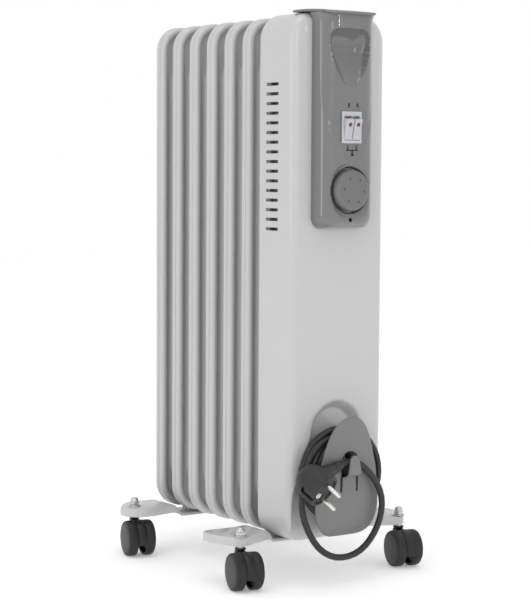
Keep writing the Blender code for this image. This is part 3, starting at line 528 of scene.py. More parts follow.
# %% The lead as one open curve
bend_share = RELIEF_LENGTH / (math.pi * FIRST_BEND)
wound = [first_bend(bend_share * 0.6 + (1 - bend_share * 0.6) * i / 16) for i in range(16)] + coil_points()
leaving = [polar(BACK_LAYER + 0.0010, OUTER_TURN + 0.0006, COIL_START + math.radians(12)),
           polar(BACK_LAYER + 0.0030, OUTER_TURN + 0.0032, COIL_START + math.radians(29))]
free_end = smooth_line([wound[-1]] + leaving + LOOP_ROUTE + [plug_point(-0.020, 0, NECK_REACH - 0.004)], 40)
lead_points = wound + free_end[1:]


def tube_curve(name, points, radius, resolution=6):
    """A round bar along points, as one open spline."""
    curve = bpy.data.curves.new(name, "CURVE")
    curve.dimensions = "3D"
    curve.bevel_depth = radius
    curve.bevel_resolution = resolution
    curve.use_fill_caps = True
    line = curve.splines.new("POLY")
    line.points.add(len(points) - 1)
    for knot, point in zip(line.points, points):
        knot.co = (*point, 1.0)
    line.use_smooth = True
    return curve


lead = piece("mains_lead", tube_curve("mains lead", lead_points, CORD_DIAMETER / 2), CORD_PVC,
             replaces=("cord_coil", "cord_loop"))
lead_length = sum((q - p).length for p, q in zip(lead_points, lead_points[1:]))
print("lead", round(lead_length, 3), "m in", len(lead_points), "points")

# %% [markdown]
# ## Strain relief
# A tapered, ribbed sleeve, moulded on the lead where it leaves the spool, so that the lead can't kink
# there. It follows the lead's first bend.

# %% Strain relief
relief_rings = []
RELIEF_STEPS = 24
for step in range(RELIEF_STEPS + 1):
    share = bend_share * step / RELIEF_STEPS
    centre = first_bend(share)
    ahead = (first_bend(share + 0.004) - centre).normalized()
    sideways = Vector((1, 0, 0))
    upward = ahead.cross(sideways)
    rib = 0.00025 * math.cos(math.pi * step)
    radius = 0.0050 - 0.0011 * step / RELIEF_STEPS + rib
    relief_rings.append([centre + radius * (math.cos(a) * sideways + math.sin(a) * upward)
                         for a in turns(24)])
piece("strain_relief", loft("strain relief", relief_rings), CORD_PVC,
      replaces=("cord_strain_relief",))
print("strain relief", RELIEF_LENGTH * 1000, "mm")

# %% [markdown]
# ## The plug
# A round two pin plug with side entry and two earth clips. The body is one PVC moulding: a drum with a
# recessed face, a rounded back and a neck that turns into the lead at a right angle. The pins are
# brass with sleeves, and the earth sleeve is a ring beside them.

# %% Plug moulding
plug_turn = Matrix((PIN_LINE, NECK_DIRECTION, PIN_DIRECTION)).transposed().to_4x4()
plug_place = Matrix.Translation(PLUG_FACE) @ plug_turn
PLUG_RADIUS = 0.0192
CLIP_GROOVE_Y = 0.0185
CLIP_Y = 0.0164
PIN_OFFSET = 0.0095
drum_profile = [(0, -0.0016), (0.0150, -0.0016), (0.0154, -0.0002), (0.0160, 0.0), (0.0180, -0.0004),
                (0.0190, -0.0014), (PLUG_RADIUS, -0.0030), (PLUG_RADIUS, -0.0150), (0.0189, -0.0170),
                (0.0180, -0.0215), (0.0160, -0.0265), (0.0130, -0.0305), (0.0090, -0.0330),
                (0.0040, -0.0339), (0, -0.034)]


def grip(angle, radius, height):
    """Shallow grip ribs round the rear of the drum."""
    if radius < 0.014 or height > -0.004:
        return radius
    return radius * (1 - 0.012 * (0.5 + 0.5 * math.cos(26 * angle)))


drum = lathe("plug drum", drum_profile, 96, flute=grip)
neck_rings = []
for reach, along, across in ((0.0040, 0.0100, 0.0120), (0.0130, 0.0098, 0.0112), (0.0200, 0.0086, 0.0092),
                             (0.0260, 0.0074, 0.0078), (0.0320, 0.0064, 0.0066), (0.0325, 0.0058, 0.0059),
                             (0.0345, 0.0058, 0.0059), (0.0350, 0.0062, 0.0063), (0.0375, 0.0060, 0.0061),
                             (0.0380, 0.0053, 0.0054), (0.0400, 0.0053, 0.0054), (0.0405, 0.0057, 0.0057),
                             (0.0430, 0.0053, 0.0053), (0.0435, 0.0047, 0.0047),
                             (NECK_REACH, 0.0043, 0.0043)):
    neck_rings.append([(across * math.cos(a), reach, -0.020 + along * math.sin(a))
                       for a in turns(32)])
neck = loft("plug neck", neck_rings)
plug_mesh = carved(drum, neck, "UNION")
for side in (-1, 1):
    groove = box_mesh("clip groove", (-0.0036, side * CLIP_GROOVE_Y - 0.0032, -0.0170),
                      (0.0036, side * CLIP_GROOVE_Y + 0.0032, 0.002))
    plug_mesh = carved(plug_mesh, groove)
piece("plug_moulding", plug_mesh, PLUG_PVC, replaces=("plug_body",), place=plug_place)
print("plug", len(plug_mesh.polygons), "faces")

# %% Pins, earth clips and earth sleeve
pin_profile = [(0, 0.019), (0.0009, 0.0188), (0.0017, 0.0180), (0.0023, 0.0165), (0.0024, 0.0150),
               (0.0024, -0.006), (0, -0.006)]
pin = lathe("pin", pin_profile, 24)
sleeve = lathe("pin sleeve", [(0, 0.0003), (0.0033, 0.0003), (0.0035, -0.0003), (0.0035, -0.003),
                              (0, -0.003)], 24)
earth_ring = lathe("earth sleeve", [(0.0018, -0.005), (0.0018, 0.0012), (0.0022, 0.0018), (0.0034, 0.0018),
                                    (0.0037, 0.0012), (0.0037, -0.006)], 32)
for number, letter in ((-1, "a"), (1, "b")):
    contact = joined(f"pin {letter}", [(pin, Matrix.Identity(4))])
    piece(f"plug_pin_{letter}_brass", contact, NICKEL, replaces=(f"plug_pin_{letter}",),
          place=plug_place @ at(number * PIN_OFFSET, 0, 0))
    # The clips take the darkened nickel, which is painted shade.
    clip = box_mesh("clip", (-0.0026, number * CLIP_Y - 0.0006, -0.0150),
                    (0.0026, number * CLIP_Y + 0.0006, -0.0006), 0.0004)
    piece(f"earth_clip_{letter}", clip, NICKEL_PAINTED_SHADE,
          replaces=(f"plug_earth_clip_{letter}",), place=plug_place)
piece("earth_sleeve", joined("earth sleeve", [(earth_ring, at(0, -0.0100, -0.0010))]), NICKEL,
      place=plug_place)
piece("pin_sleeves", joined("pin sleeves", [(sleeve, at(side * PIN_OFFSET, 0, -0.0012))
                                            for side in (-1, 1)]),
      [PLUG_PVC, PLUG_PVC], place=plug_place)
print("plug contacts", 5)

# %% [markdown]
# ## The fins
# Each fin is two sheets pressed back to back: a flat web that carries a raised oil channel, and a rim
# whose edge is rolled into two beads with a groove between them where the seam weld runs. One skin
# serves all seven, because the press makes them alike. A loft of rounded rectangles from bead to
# channel follows the press tool's own shape. Where neighbours meet, a domed boss is pressed out of each
# sheet, and the two bosses are welded. The rear fin has no neighbour behind it, so its rear bosses stay
# shallow.

# %% Fin
FIN_HALF_WIDTH = 0.0612
FIN_BOTTOM = 0.0448
FIN_TOP = 0.603
BEAD_RADIUS = 0.0042
BEAD_OFFSET = 0.0038
LOWER_HUB_Z = 0.085
UPPER_HUB_Z = 0.551


def fin_rings():
    """Rings from the middle groove over one bead, down to the web and up on the oil channel."""
    rings = []
    for degrees in range(-64, 140, 12):
        angle = math.radians(degrees)
        inset = BEAD_RADIUS * (1 - math.cos(angle))
        x = BEAD_OFFSET + BEAD_RADIUS * math.sin(angle)
        rings.append((x, inset, 0.030 - inset, 0.0275 - inset))
    for inset, x in ((0.0088, 0.0048), (0.0098, 0.0030), (0.0108, 0.0023), (0.0120, 0.0022)):
        rings.append((x, inset, 0.030 - inset, 0.0275 - inset))
    loops = [[(x, y, z) for y, z in outline(FIN_HALF_WIDTH - inset, FIN_BOTTOM + inset, FIN_TOP - inset,
                                            low, high, 10)]
             for x, inset, low, high in rings]
    for inset, x in ((0.0135, 0.0023), (0.0147, 0.0031), (0.0160, 0.0047), (0.0176, 0.0061),
                     (0.0200, 0.0069), (0.0240, 0.0074), (0.0340, 0.0077)):
        low = max(0.036 - 0.6 * (inset - 0.0135), 0.010)
        loops.append([(x, y, z) for y, z in outline(FIN_HALF_WIDTH - inset, FIN_BOTTOM + inset + 0.0035,
                                                    FIN_TOP - inset - 0.0160, low, low, 10)])
    return loops


def boss(reach, radius):
    """A domed boss pressed out of the sheet, up to where the next fin's boss meets it."""
    if reach <= RIM_HALF:
        return [(radius + 0.0085, 0.0050), (radius + 0.0060, 0.0071), (radius + 0.0020, 0.0078),
                (radius - 0.0060, 0.0080), (0, reach)]
    return [(radius + 0.0085, 0.0050), (radius + 0.0062, 0.0078), (radius + 0.0030, 0.0092),
            (radius + 0.0010, 0.0112), (radius, 0.0135), (radius, reach)]


front_rings = fin_rings()
back_rings = [[(-x, y, z) for x, y, z in ring] for ring in reversed(front_rings)]
fin_skin = loft("fin", back_rings + front_rings)
HUB_HALF = FIN_PITCH / 2 - 0.00015


def fin_with_bosses(name, rear_reach):
    parts = [(fin_skin, Matrix.Identity(4))]
    for z, radius in ((LOWER_HUB_Z, 0.0270), (UPPER_HUB_Z, 0.0250)):
        front = lathe("boss", boss(HUB_HALF, radius), 48)
        rear = lathe("boss", boss(rear_reach, radius), 48)
        parts.append((front, at(0, 0, z, TO_X)))
        parts.append((rear, at(0, 0, z, Matrix.Rotation(-math.pi / 2, 4, "Y"))))
    mesh = parts[0][0].copy()
    for part, place in parts[1:]:
        moved = part.copy()
        moved.transform(place)
        mesh = carved(mesh, moved, "UNION")
    mesh.name = name
    return mesh


inner_fin = fin_with_bosses("fin", HUB_HALF)
rear_fin = fin_with_bosses("rear fin", RIM_HALF)
for number in range(7):
    mesh = inner_fin if number else rear_fin
    piece(f"pressed_fin_{number + 1}", mesh, FIN_ENAMEL, replaces=(f"fin_{number + 1}",),
          place=at(FIRST_FIN_X + number * FIN_PITCH))
print("fin", len(inner_fin.polygons), "faces, 7 fins")

# %% [markdown]
# ## The control end's cover
# A box drawn from sheet steel with a generous radius round its front, sixteen vents punched in either
# side, and an arched recess low in its front where the lead is stored. Rings of points run from the
# rear edge over the front radius and on inward, close together, so the recess can be pressed in by
# moving the points that lie inside its arch. The vents are cut afterwards.

# %% Cover skin
COVER_HALF_WIDTH = 0.0628
COVER_BOTTOM = 0.0432
COVER_TOP = 0.6046
COVER_CORNER = 0.028
COVER_EDGE = 0.010
COVER_WALL = 0.0013
ARCH_SOFTNESS = 0.011

arch_half = [(0.0600, 0.020), (0.0600, 0.085), (0.0585, 0.098), (0.0530, 0.112), (0.0460, 0.128),
             (0.0400, 0.142), (0.0365, 0.156)]
arch_top = [(0.0355 * math.cos(a), 0.1600 + 0.0355 * math.sin(a))
            for a in (math.pi * i / 24 for i in range(1, 24))]
arch = arch_half + arch_top + [(-y, z) for y, z in reversed(arch_half)]


def press_recess(points):
    """Moves points back where they lie inside the arch, with a soft lip."""
    rows = np.array([tuple(p) for p in points])
    inside = depth_inside(rows[:, 1:], arch)
    rows[:, 0] -= RECESS_DEPTH * eased(inside / ARCH_SOFTNESS) * eased((rows[:, 0] - COVER_REAR) / 0.030)
    return [tuple(row) for row in rows]


cover_base = [i / 34 for i in range(1, 34)]
cover_side = [i / 240 for i in range(1, 68)] + [0.30 + 0.70 * i / 12 for i in range(12)]
insets = [(COVER_REAR, 0.0), (COVER_REAR + 0.020, 0.0), (COVER_FRONT - COVER_EDGE - 0.0015, 0.0)]
for step in range(10):
    angle = math.radians(10 * step)
    insets.append((COVER_FRONT - COVER_EDGE * (1 - math.sin(angle)), COVER_EDGE * (1 - math.cos(angle))))
insets += [(COVER_FRONT, COVER_EDGE + 0.0012)]
insets += [(COVER_FRONT, COVER_EDGE + 0.0036 + 0.0024 * i) for i in range(21)]
cover_rings = []
for x, inset in insets:
    radius = COVER_CORNER - inset
    ring = outline(COVER_HALF_WIDTH - inset, COVER_BOTTOM + inset, COVER_TOP - inset, radius, radius, 8,
                   cover_base, cover_side)
    cover_rings.append(press_recess([(x, y, z) for y, z in ring]))
cover_rings.append([(x, 0.0, z) for x, y, z in cover_rings[-1]])
cover_mesh = thickened(loft("cover", cover_rings, ends=(False, False)), COVER_WALL)
print("cover skin", len(cover_mesh.polygons), "faces")

# %% Vents
VENT_COUNT = 16
VENT_PITCH = 0.01017
VENT_TOP = 0.5299
VENT_LENGTH = 0.0222
VENT_HEIGHT = 0.0034
VENT_START = COVER_REAR + 0.0112


def slot_mesh(z):
    """A round ended bar across the whole cover, the shape of one punched vent."""
    end = VENT_HEIGHT / 2
    path = []
    for middle, start in ((VENT_START + VENT_LENGTH - end, -90), (VENT_START + end, 90)):
        path += [(middle + end * math.cos(math.radians(start + 30 * i)),
                  z + end * math.sin(math.radians(start + 30 * i)))
                 for i in range(7)]
    return loft("vent", [[(x, y, height) for x, height in path] for y in (-0.08, 0.08)])


vents = joined("vents", [(slot_mesh(VENT_TOP - number * VENT_PITCH), Matrix.Identity(4))
                         for number in range(VENT_COUNT)], last_slot=0)
cover_mesh = carved(cover_mesh, vents)
piece("cover_shell", cover_mesh, COVER_ENAMEL, replaces=("control_cover",))
print("cover with", 2 * VENT_COUNT, "vents,", len(cover_mesh.polygons), "faces")

# %% [markdown]
# ## The control panel
# One glossy ABS moulding. Its sides roll forward into a narrow flat face, and a finger recess shaped
# like a shield dives back under the lip at its top. Below it a second, very shallow shield frames the
# switch, and a round dish holds the knob. All of these are smooth depressions in one skin, so the
# points of a fine loft are moved back by amounts worked out from each outline.

# %% Panel outlines
PANEL_BACK = COVER_FRONT + 0.0003
PANEL_DEPTH = 0.0204
PANEL_FACE = PANEL_BACK + PANEL_DEPTH
PANEL_HALF_WIDTH = 0.037
PANEL_BOTTOM = 0.378
PANEL_TOP = 0.6052
ROLL = 0.020
SWITCH_Z = 0.4847
KNOB_Z = 0.4186
SCREW_Z = 0.3876
DISH_RADIUS = 0.031
DISH_DEPTH = 0.0018
DISH_FLOOR_RADIUS = 0.0262
POCKET_DEPTH = 0.0050
POCKET_RADIUS = 0.0240
SCOOP_LOW = 0.529
SCOOP_TURN = 0.552
SCOOP_DEEPEST = 0.567
SCOOP_LIP = 0.0040
SCOOP_SLOPE = 0.42
SCOOP_ROUNDING = 14
PANEL_WALL = 0.0022
NECK_START = 0.5925
NECK_FLARE = 0.13

scoop_half = [(0.0, 0.5270), (0.0060, 0.5278), (0.0105, 0.5310), (0.0145, 0.5360), (0.0190, 0.5440),
              (0.0225, 0.5530), (0.0252, 0.5630), (0.0267, 0.5720), (0.0266, 0.5785), (0.0250, 0.5832),
              (0.0215, 0.5866), (0.0160, 0.5884), (0.0, 0.5890)]
scoop = scoop_half + [(-y, z) for y, z in reversed(scoop_half[1:-1])]
frame_half = [(0.0, 0.4440), (0.0045, 0.4450), (0.0090, 0.4485), (0.0150, 0.4590), (0.0220, 0.4735),
              (0.0270, 0.4837), (0.0310, 0.4990), (0.0330, 0.5146), (0.0345, 0.5400), (0.0350, 0.6200)]
shallow_frame = frame_half + [(-y, z) for y, z in reversed(frame_half[1:])]


def shape_panel(points):
    """Sinks the finger recess, the shallow frame and the knob's dish into the panel's skin."""
    rows = np.array([tuple(p) for p in points])
    x, y, z = rows.T
    in_frame = eased(depth_inside(rows[:, 1:], shallow_frame) / 0.0016)
    x = x - 0.0007 * in_frame * eased((x - PANEL_BACK) / 0.012)
    rise = np.maximum(z - SCOOP_LOW, 0.0)
    scoop_floor = (PANEL_FACE - SCOOP_LIP - SCOOP_SLOPE * rise
                   + SCOOP_ROUNDING * np.maximum(z - SCOOP_TURN, 0.0) ** 2)
    inside = depth_inside(rows[:, 1:], scoop)
    bowl = np.sqrt(1 - (1 - np.clip(inside / 0.016, 0, 1)) ** 2)
    x = x - bowl * eased(inside / 0.0022) * np.maximum(x - scoop_floor, 0.0)
    r = np.hypot(y, z - KNOB_Z)
    dish_rise = eased((r - DISH_FLOOR_RADIUS) / (DISH_RADIUS - DISH_FLOOR_RADIUS))
    dish = PANEL_FACE - DISH_DEPTH + DISH_DEPTH * dish_rise
    dish = dish - POCKET_DEPTH * (1 - eased((r - POCKET_RADIUS) / 0.0012))
    x = np.where(r < DISH_RADIUS, np.minimum(x, dish), x)
    neck = np.clip((z - NECK_START) / (PANEL_TOP - NECK_START), 0, 1) ** 2.2
    y = y * (1 + NECK_FLARE * neck)
    return [tuple(row) for row in np.column_stack([x, y, z])]


scoop_depth = (SCOOP_LIP + SCOOP_SLOPE * (SCOOP_DEEPEST - SCOOP_LOW)
               - SCOOP_ROUNDING * (SCOOP_DEEPEST - SCOOP_TURN) ** 2)
print("finger recess", round(scoop_depth * 1000, 1), "mm deep")

# %% Panel moulding
panel_base = [i / 24 for i in range(1, 24)]
panel_side = [i / 230 for i in range(1, 230)]
panel_rings = []
ROLL_POWER = 2.1
for t in (0.0, 0.12, 0.25, 0.38, 0.50, 0.60, 0.69, 0.76, 0.82, 0.87, 0.91, 0.94, 0.965, 0.982, 0.993, 0.999,
          1.0):
    share = 1 - (1 - t ** ROLL_POWER) ** (1 / ROLL_POWER)
    half = PANEL_HALF_WIDTH - ROLL * share
    bottom = PANEL_BOTTOM + 0.009 * share
    ring = outline(half, bottom, PANEL_TOP, 0.012 - 0.005 * share, 0.004, 8, panel_base, panel_side)
    panel_rings.append([(PANEL_BACK + PANEL_DEPTH * t, y, z) for y, z in ring])
face_half = PANEL_HALF_WIDTH - ROLL
for inset in [0.0011 * i for i in range(1, 16)]:
    radius = max(0.007 - inset, 0.0005)
    ring = outline(face_half - inset, PANEL_BOTTOM + 0.009 + inset, PANEL_TOP - inset * 0.25, radius,
                   max(0.004 - inset, 0.0005), 8, panel_base, panel_side)
    panel_rings.append([(PANEL_FACE, y, z) for y, z in ring])
panel_rings = [shape_panel(ring) for ring in panel_rings]
panel_rings.append([(x, 0.0, z) for x, y, z in panel_rings[-1]])
panel_mesh = thickened(loft("panel", panel_rings, ends=(False, False)), PANEL_WALL)
window = box_mesh("switch window", (PANEL_FACE - 0.012, -0.0123, SWITCH_Z - 0.0165),
                  (PANEL_FACE + 0.006, 0.0123, SWITCH_Z + 0.0165))
panel_mesh = carved(panel_mesh, window)
screw_hole = lathe("screw hole", [(0.0023, -0.012), (0.0023, 0.006)], 24)
screw_hole.transform(at(PANEL_FACE, 0, SCREW_Z, TO_X))
panel_mesh = carved(panel_mesh, screw_hole)
piece("panel_moulding", panel_mesh, PANEL_ABS, replaces=("control_panel",))
print("panel", len(panel_mesh.polygons), "faces")

# %% [markdown]
# ## The panel's lip
# The top of the panel runs on as a thin lip that laps over the cover, widest over the cover's edge and
# narrowing to a blunt nose over the finger recess. Fingers pull on it to move the heater.

# %% Lip
LIP_REAR = COVER_FRONT - 0.027
LIP_LOW = COVER_TOP + 0.0003
lip_plan = [(LIP_REAR, 0.0395, 0.0), (LIP_REAR + 0.003, 0.0448, 0.0), (LIP_REAR + 0.008, 0.0460, 0.0),
            (COVER_FRONT - 0.010, 0.0455, 0.0), (COVER_FRONT - 0.002, 0.0434, 0.0),
            (COVER_FRONT + 0.004, 0.0410, 0.0001), (PANEL_BACK + 0.010, 0.0372, 0.0004),
            (PANEL_BACK + 0.0160, 0.0345, 0.0009), (PANEL_BACK + 0.0205, 0.0318, 0.0016),
            (PANEL_BACK + 0.0236, 0.0285, 0.0023)]
lip_rings = []
for x, half, drop in smooth_line(lip_plan, 40):
    top = LIP_LOW + 0.0026 - drop
    low = LIP_LOW - drop
    section = []
    for sign in (1, -1):
        edge = [(half - 0.0009, low), (half - 0.0002, low + 0.0004), (half, low + 0.0011),
                (half - 0.0003, low + 0.0020), (half - 0.0011, top)]
        across = [((half - 0.0011) * (1 - i / 6), top + 0.0003 * math.sin(math.pi / 2 * i / 6))
                  for i in range(1, 7)]
        path = edge + (across if sign > 0 else across[:-1])
        section += [(x, y, z) for y, z in path] if sign > 0 else [(x, -y, z) for y, z in reversed(path)]
    lip_rings.append(section)
lip = piece("panel_lip", loft("lip", lip_rings), PANEL_ABS)
print("lip", len(lip.data.polygons), "faces")

# %% [markdown]
# ## The switch
# A snap-in body with a raised frame round two rockers. Each rocker is a saddle: its two ends stand
# proud and its middle dips. A red window marks each one, and both rest with their top ends out.

# %% Switch frame
SWITCH_FACE = PANEL_FACE + 0.0012
SWITCH_HALF_WIDTH = 0.0120
SWITCH_HALF_HEIGHT = 0.0162
FLANGE_OVERLAP = 0.0009
ROCKER_Y = 0.0054
ROCKER_Z = SWITCH_Z - 0.0008
ROCKER_TILT = math.radians(13)
barrel = box_mesh("switch barrel", (SWITCH_FACE - 0.027, -SWITCH_HALF_WIDTH, SWITCH_Z - SWITCH_HALF_HEIGHT),
                  (SWITCH_FACE - 0.0006, SWITCH_HALF_WIDTH, SWITCH_Z + SWITCH_HALF_HEIGHT), 0.0004)
flange_y, flange_z = SWITCH_HALF_WIDTH + FLANGE_OVERLAP, SWITCH_HALF_HEIGHT + FLANGE_OVERLAP * 0.5
flange = box_mesh("switch flange", (SWITCH_FACE - 0.0017, -flange_y, SWITCH_Z - flange_z),
                  (SWITCH_FACE, flange_y, SWITCH_Z + flange_z), 0.0005)
switch_mesh = carved(barrel, flange, "UNION")
for side in (-1, 1):
    for depth, half in ((0.011, 0.0112), (0.0040, 0.0128)):
        well = box_mesh("rocker well", (SWITCH_FACE - depth, side * ROCKER_Y - 0.0050, ROCKER_Z - half),
                        (SWITCH_FACE + 0.002, side * ROCKER_Y + 0.0050, ROCKER_Z + half))
        switch_mesh = carved(switch_mesh, well)
piece("switch_frame", switch_mesh, SWITCH_ABS, replaces=("switch_body",))
print("switch frame", 2 * SWITCH_HALF_WIDTH * 1000, "x", 2 * SWITCH_HALF_HEIGHT * 1000, "mm")

# %% Rockers
rocker_line = [(0.0012, 0.0108), (0.0060, 0.0113), (0.0067, 0.0110), (0.0069, 0.0102), (0.0067, 0.0070),
               (0.0065, 0.0030), (0.0064, 0.0), (0.0065, -0.0030), (0.0067, -0.0070), (0.0069, -0.0102),
               (0.0067, -0.0110), (0.0060, -0.0113), (0.0012, -0.0108), (-0.0045, -0.0060),
               (-0.0045, 0.0060)]
for name, side in (("rocker_left", -1), ("rocker_right", 1)):
    sections = []
    for y, shrink in ((-0.0048, 0.0005), (-0.0045, 0.0001), (-0.0040, 0.0), (0.0040, 0.0), (0.0045, 0.0001),
                      (0.0048, 0.0005)):
        sections.append([(x - shrink * (x > 0), y, z * (1 - shrink * 30)) for x, z in rocker_line])
    place = at(SWITCH_FACE - 0.0035, side * ROCKER_Y, ROCKER_Z, Matrix.Rotation(ROCKER_TILT, 4, "Y"))
    cap = loft("rocker", sections)
    window_mesh = lathe("red window", [(0, 0.0006), (0.0018, 0.0005), (0.0022, 0.0002), (0.0023, -0.001),
                                       (0, -0.001)], 32)
    rocker_mesh = joined(name, [(cap, Matrix.Identity(4)), (window_mesh, at(0.0066, 0, 0.0052, TO_X))])
    piece(f"{name}_cap", rocker_mesh, [ROCKER_ABS, RED_LENS], body=name,
          replaces=(name,), place=place)
print("rockers resting", round(math.degrees(ROCKER_TILT)), "degrees out at the top")

# %% Printed signs round the switch


def print_mark(points, width, depth=0.00012):
    """A flat printed line (y, z) lying on the panel's face."""
    bm = bmesh.new()
    x = PANEL_FACE - 0.00045
    for (y0, z0), (y1, z1) in zip(points, points[1:]):
        along = Vector((y1 - y0, z1 - z0)).normalized() * width / 2
        across = Vector((-along.y, along.x))
        corners = [(y0 - along.x + across.x, z0 - along.y + across.y),
                   (y1 + along.x + across.x, z1 + along.y + across.y),
                   (y1 + along.x - across.x, z1 + along.y - across.y),
                   (y0 - along.x - across.x, z0 - along.y - across.y)]
        low = [bm.verts.new((x - depth, y, z)) for y, z in corners]
        high = [bm.verts.new((x + depth, y, z)) for y, z in corners]
        bm.faces.new(low)
        bm.faces.new(list(reversed(high)))
        for i in range(4):
            j = (i + 1) % 4
            bm.faces.new((low[i], high[i], high[j], low[j]))
    return to_mesh(bm, "mark")


marks = [([(y, 0.5070), (y, 0.5090)], 0.0020) for y in (-0.0030, 0.0083)]
marks += [([(-0.0058, 0.4607), (0.0093, 0.4607)], 0.0009), ([(-0.0042, 0.4650), (-0.0042, 0.4615)], 0.0014),
          ([(0.0072, 0.4650), (0.0072, 0.4615)], 0.0014), ([(0.0018, 0.4605), (0.0018, 0.4560)], 0.0018),
          ([(0.0006, 0.4556), (0.0030, 0.4556)], 0.0014)]
for number, (points, width) in enumerate(marks):
    piece(f"printed_mark_{number + 1}", print_mark(points, width), DARK_INK)
print("printed marks", len(marks))

# %% [markdown]
# ## The thermostat knob
# A shallow ABS cap with a soft edge and finely fluted sides. Six small dots of dark ink stand round
# its face. It pushes on the thermostat's shaft.

# %% Knob
KNOB_RADIUS = 0.022
knob_profile = [(0, 0.0083), (0.0150, 0.0083), (0.0180, 0.0081), (0.0198, 0.0074), (0.0209, 0.0062),
                (0.0215, 0.0048), (0.0219, 0.0030), (KNOB_RADIUS, 0.0004), (0.0190, 0.0004),
                (0.0190, 0.0001), (0, 0.0001)]


def knob_flute(angle, radius, height):
    """Fine flutes on the knob's side only."""
    if radius < 0.0213 or height < 0.0003:
        return radius
    return radius - 0.00018 * (0.5 + 0.5 * math.cos(60 * angle))


knob_body = lathe("knob", knob_profile, 240, flute=knob_flute)
dot = lathe("dot", [(0, 0.00008), (0.0009, 0.00008), (0.0010, -0.0004), (0, -0.0004)], 16)
DOT_CIRCLE = 0.0134
dots = [(dot, at(DOT_CIRCLE * math.cos(a), DOT_CIRCLE * math.sin(a), 0.0083))
        for a in (math.radians(60 * number + 25) for number in range(6))]
knob_mesh = joined("knob", [(knob_body, Matrix.Identity(4))] + dots, last_slot=1)
piece("knob_cap", knob_mesh, [KNOB_ABS, DARK_INK], body="knob", replaces=("thermostat_knob",),
      place=at(PANEL_FACE - 0.0022, 0, KNOB_Z, TO_X))
print("knob", 2 * KNOB_RADIUS * 1000, "mm")

# %% Panel screw
screw_body = lathe("screw head", [(0, 0.0006), (0.0008, 0.0006), (0.0015, 0.0003), (0.0017, -0.0002),
                                  (0.0017, -0.008), (0, -0.008)], 24)
cross = [box_mesh("cross", (-0.0011, -0.00022, 0.0001), (0.0011, 0.00022, 0.0012)),
         box_mesh("cross", (-0.00022, -0.0011, 0.0001), (0.00022, 0.0011, 0.0012))]
for arm in cross:
    screw_body = carved(screw_body, arm)
piece("panel_screw_head", screw_body, ZINC, replaces=("panel_screw",),
      place=at(PANEL_BACK + 0.0150, 0, SCREW_Z, TO_X))
print("panel screw", 3.4, "mm head")

# %% [markdown]
# ## Foot brackets
# Each foot is one pressed strip of sheet steel. It runs flat under the fins, steps up beside them and
# widens to a rounded platform with a turned-down flange, which takes the caster. The sections along it
# are channels, and they are joined over a smooth line from end to end.

# %% Feet
PLATFORM_TOP = 0.054
STRIP_TOP = COVER_BOTTOM - 0.0004
SHEET = 0.0016
BOLT_Y = 0.1079
FRONT_BOLT_X = COVER_REAR + 0.0320
REAR_BOLT_X = FIRST_FIN_X + 0.0229
STRIP_LOW = STRIP_TOP - 0.0030
FLANGE_LOW = PLATFORM_TOP - 0.0092
FOOT_ZERO = COVER_REAR - 0.2086


def channel(y, rear, front, top, low, tip):
    """A turned-down channel's section with rounded shoulders, closed by the flange beyond the tip."""
    r = 0.0018
    wall = min(SHEET, (front - rear) * 0.3)
    ceiling = top - wall if abs(y) < tip else low + 0.0002
    outside = [(rear, low), (rear, top - r), (rear + 0.3 * r, top - 0.3 * r), (rear + r, top),
               (front - r, top), (front - 0.3 * r, top - 0.3 * r), (front, top - r), (front, low)]
    inside = [(front - wall, low), (front - wall, ceiling), (rear + wall, ceiling), (rear + wall, low)]
    return [(x, y, z) for x, z in outside + inside]


def foot(name, stations):
    """stations hold (distance from the middle, rear edge, front edge, top, flange's lower edge)."""
    half = smooth_line(stations, 80)
    tip = stations[-1][0] - 0.0030
    rows = [(-row[0], *row[1:]) for row in reversed(half)] + [tuple(row) for row in half[1:]]
    rings = [channel(*row, tip) for row in rows]
    return loft(name, rings, smooth_angle=40)


front_rows = [(0.0, 0.186, 0.225, 0), (0.050, 0.186, 0.225, 0), (0.0575, 0.1875, 0.2280, 0.4),
              (0.066, 0.190, 0.232, 1), (0.078, 0.1905, 0.2370, 1), (0.090, 0.1905, 0.2415, 1),
              (0.102, 0.190, 0.2460, 1), (0.109, 0.189, 0.2455, 1), (0.115, 0.189, 0.2410, 1),
              (0.120, 0.190, 0.2310, 1), (0.1235, 0.193, 0.2190, 1), (0.1262, 0.1975, 0.2095, 1)]
rear_rows = [(0.0, 0.007, 0.046, 0), (0.050, 0.007, 0.046, 0), (0.0575, 0.0068, 0.0462, 0.4),
             (0.066, 0.006, 0.0465, 1), (0.078, 0.001, 0.0475, 1), (0.089, -0.002, 0.0500, 1),
             (0.100, -0.001, 0.0510, 1), (0.110, 0.006, 0.0500, 1), (0.118, 0.015, 0.0460, 1),
             (0.1225, 0.021, 0.0400, 1), (0.1248, 0.0245, 0.0345, 1)]
for end, rows in (("front", front_rows), ("rear", rear_rows)):
    stations = [(y, FOOT_ZERO + a, FOOT_ZERO + b, STRIP_TOP + (PLATFORM_TOP - STRIP_TOP) * lift,
                 STRIP_LOW + (FLANGE_LOW - STRIP_LOW) * lift) for y, a, b, lift in rows]
    piece(f"{end}_foot", foot(f"{end} foot", stations), FOOT_ENAMEL,
          replaces=(f"{end}_foot_bracket",))
print("feet at", round(FRONT_BOLT_X, 4), round(REAR_BOLT_X, 4))

# %% [markdown]
# ## U bolts
# A bent rod straddles the welded bosses between two fins and clamps the foot from below with two nuts.

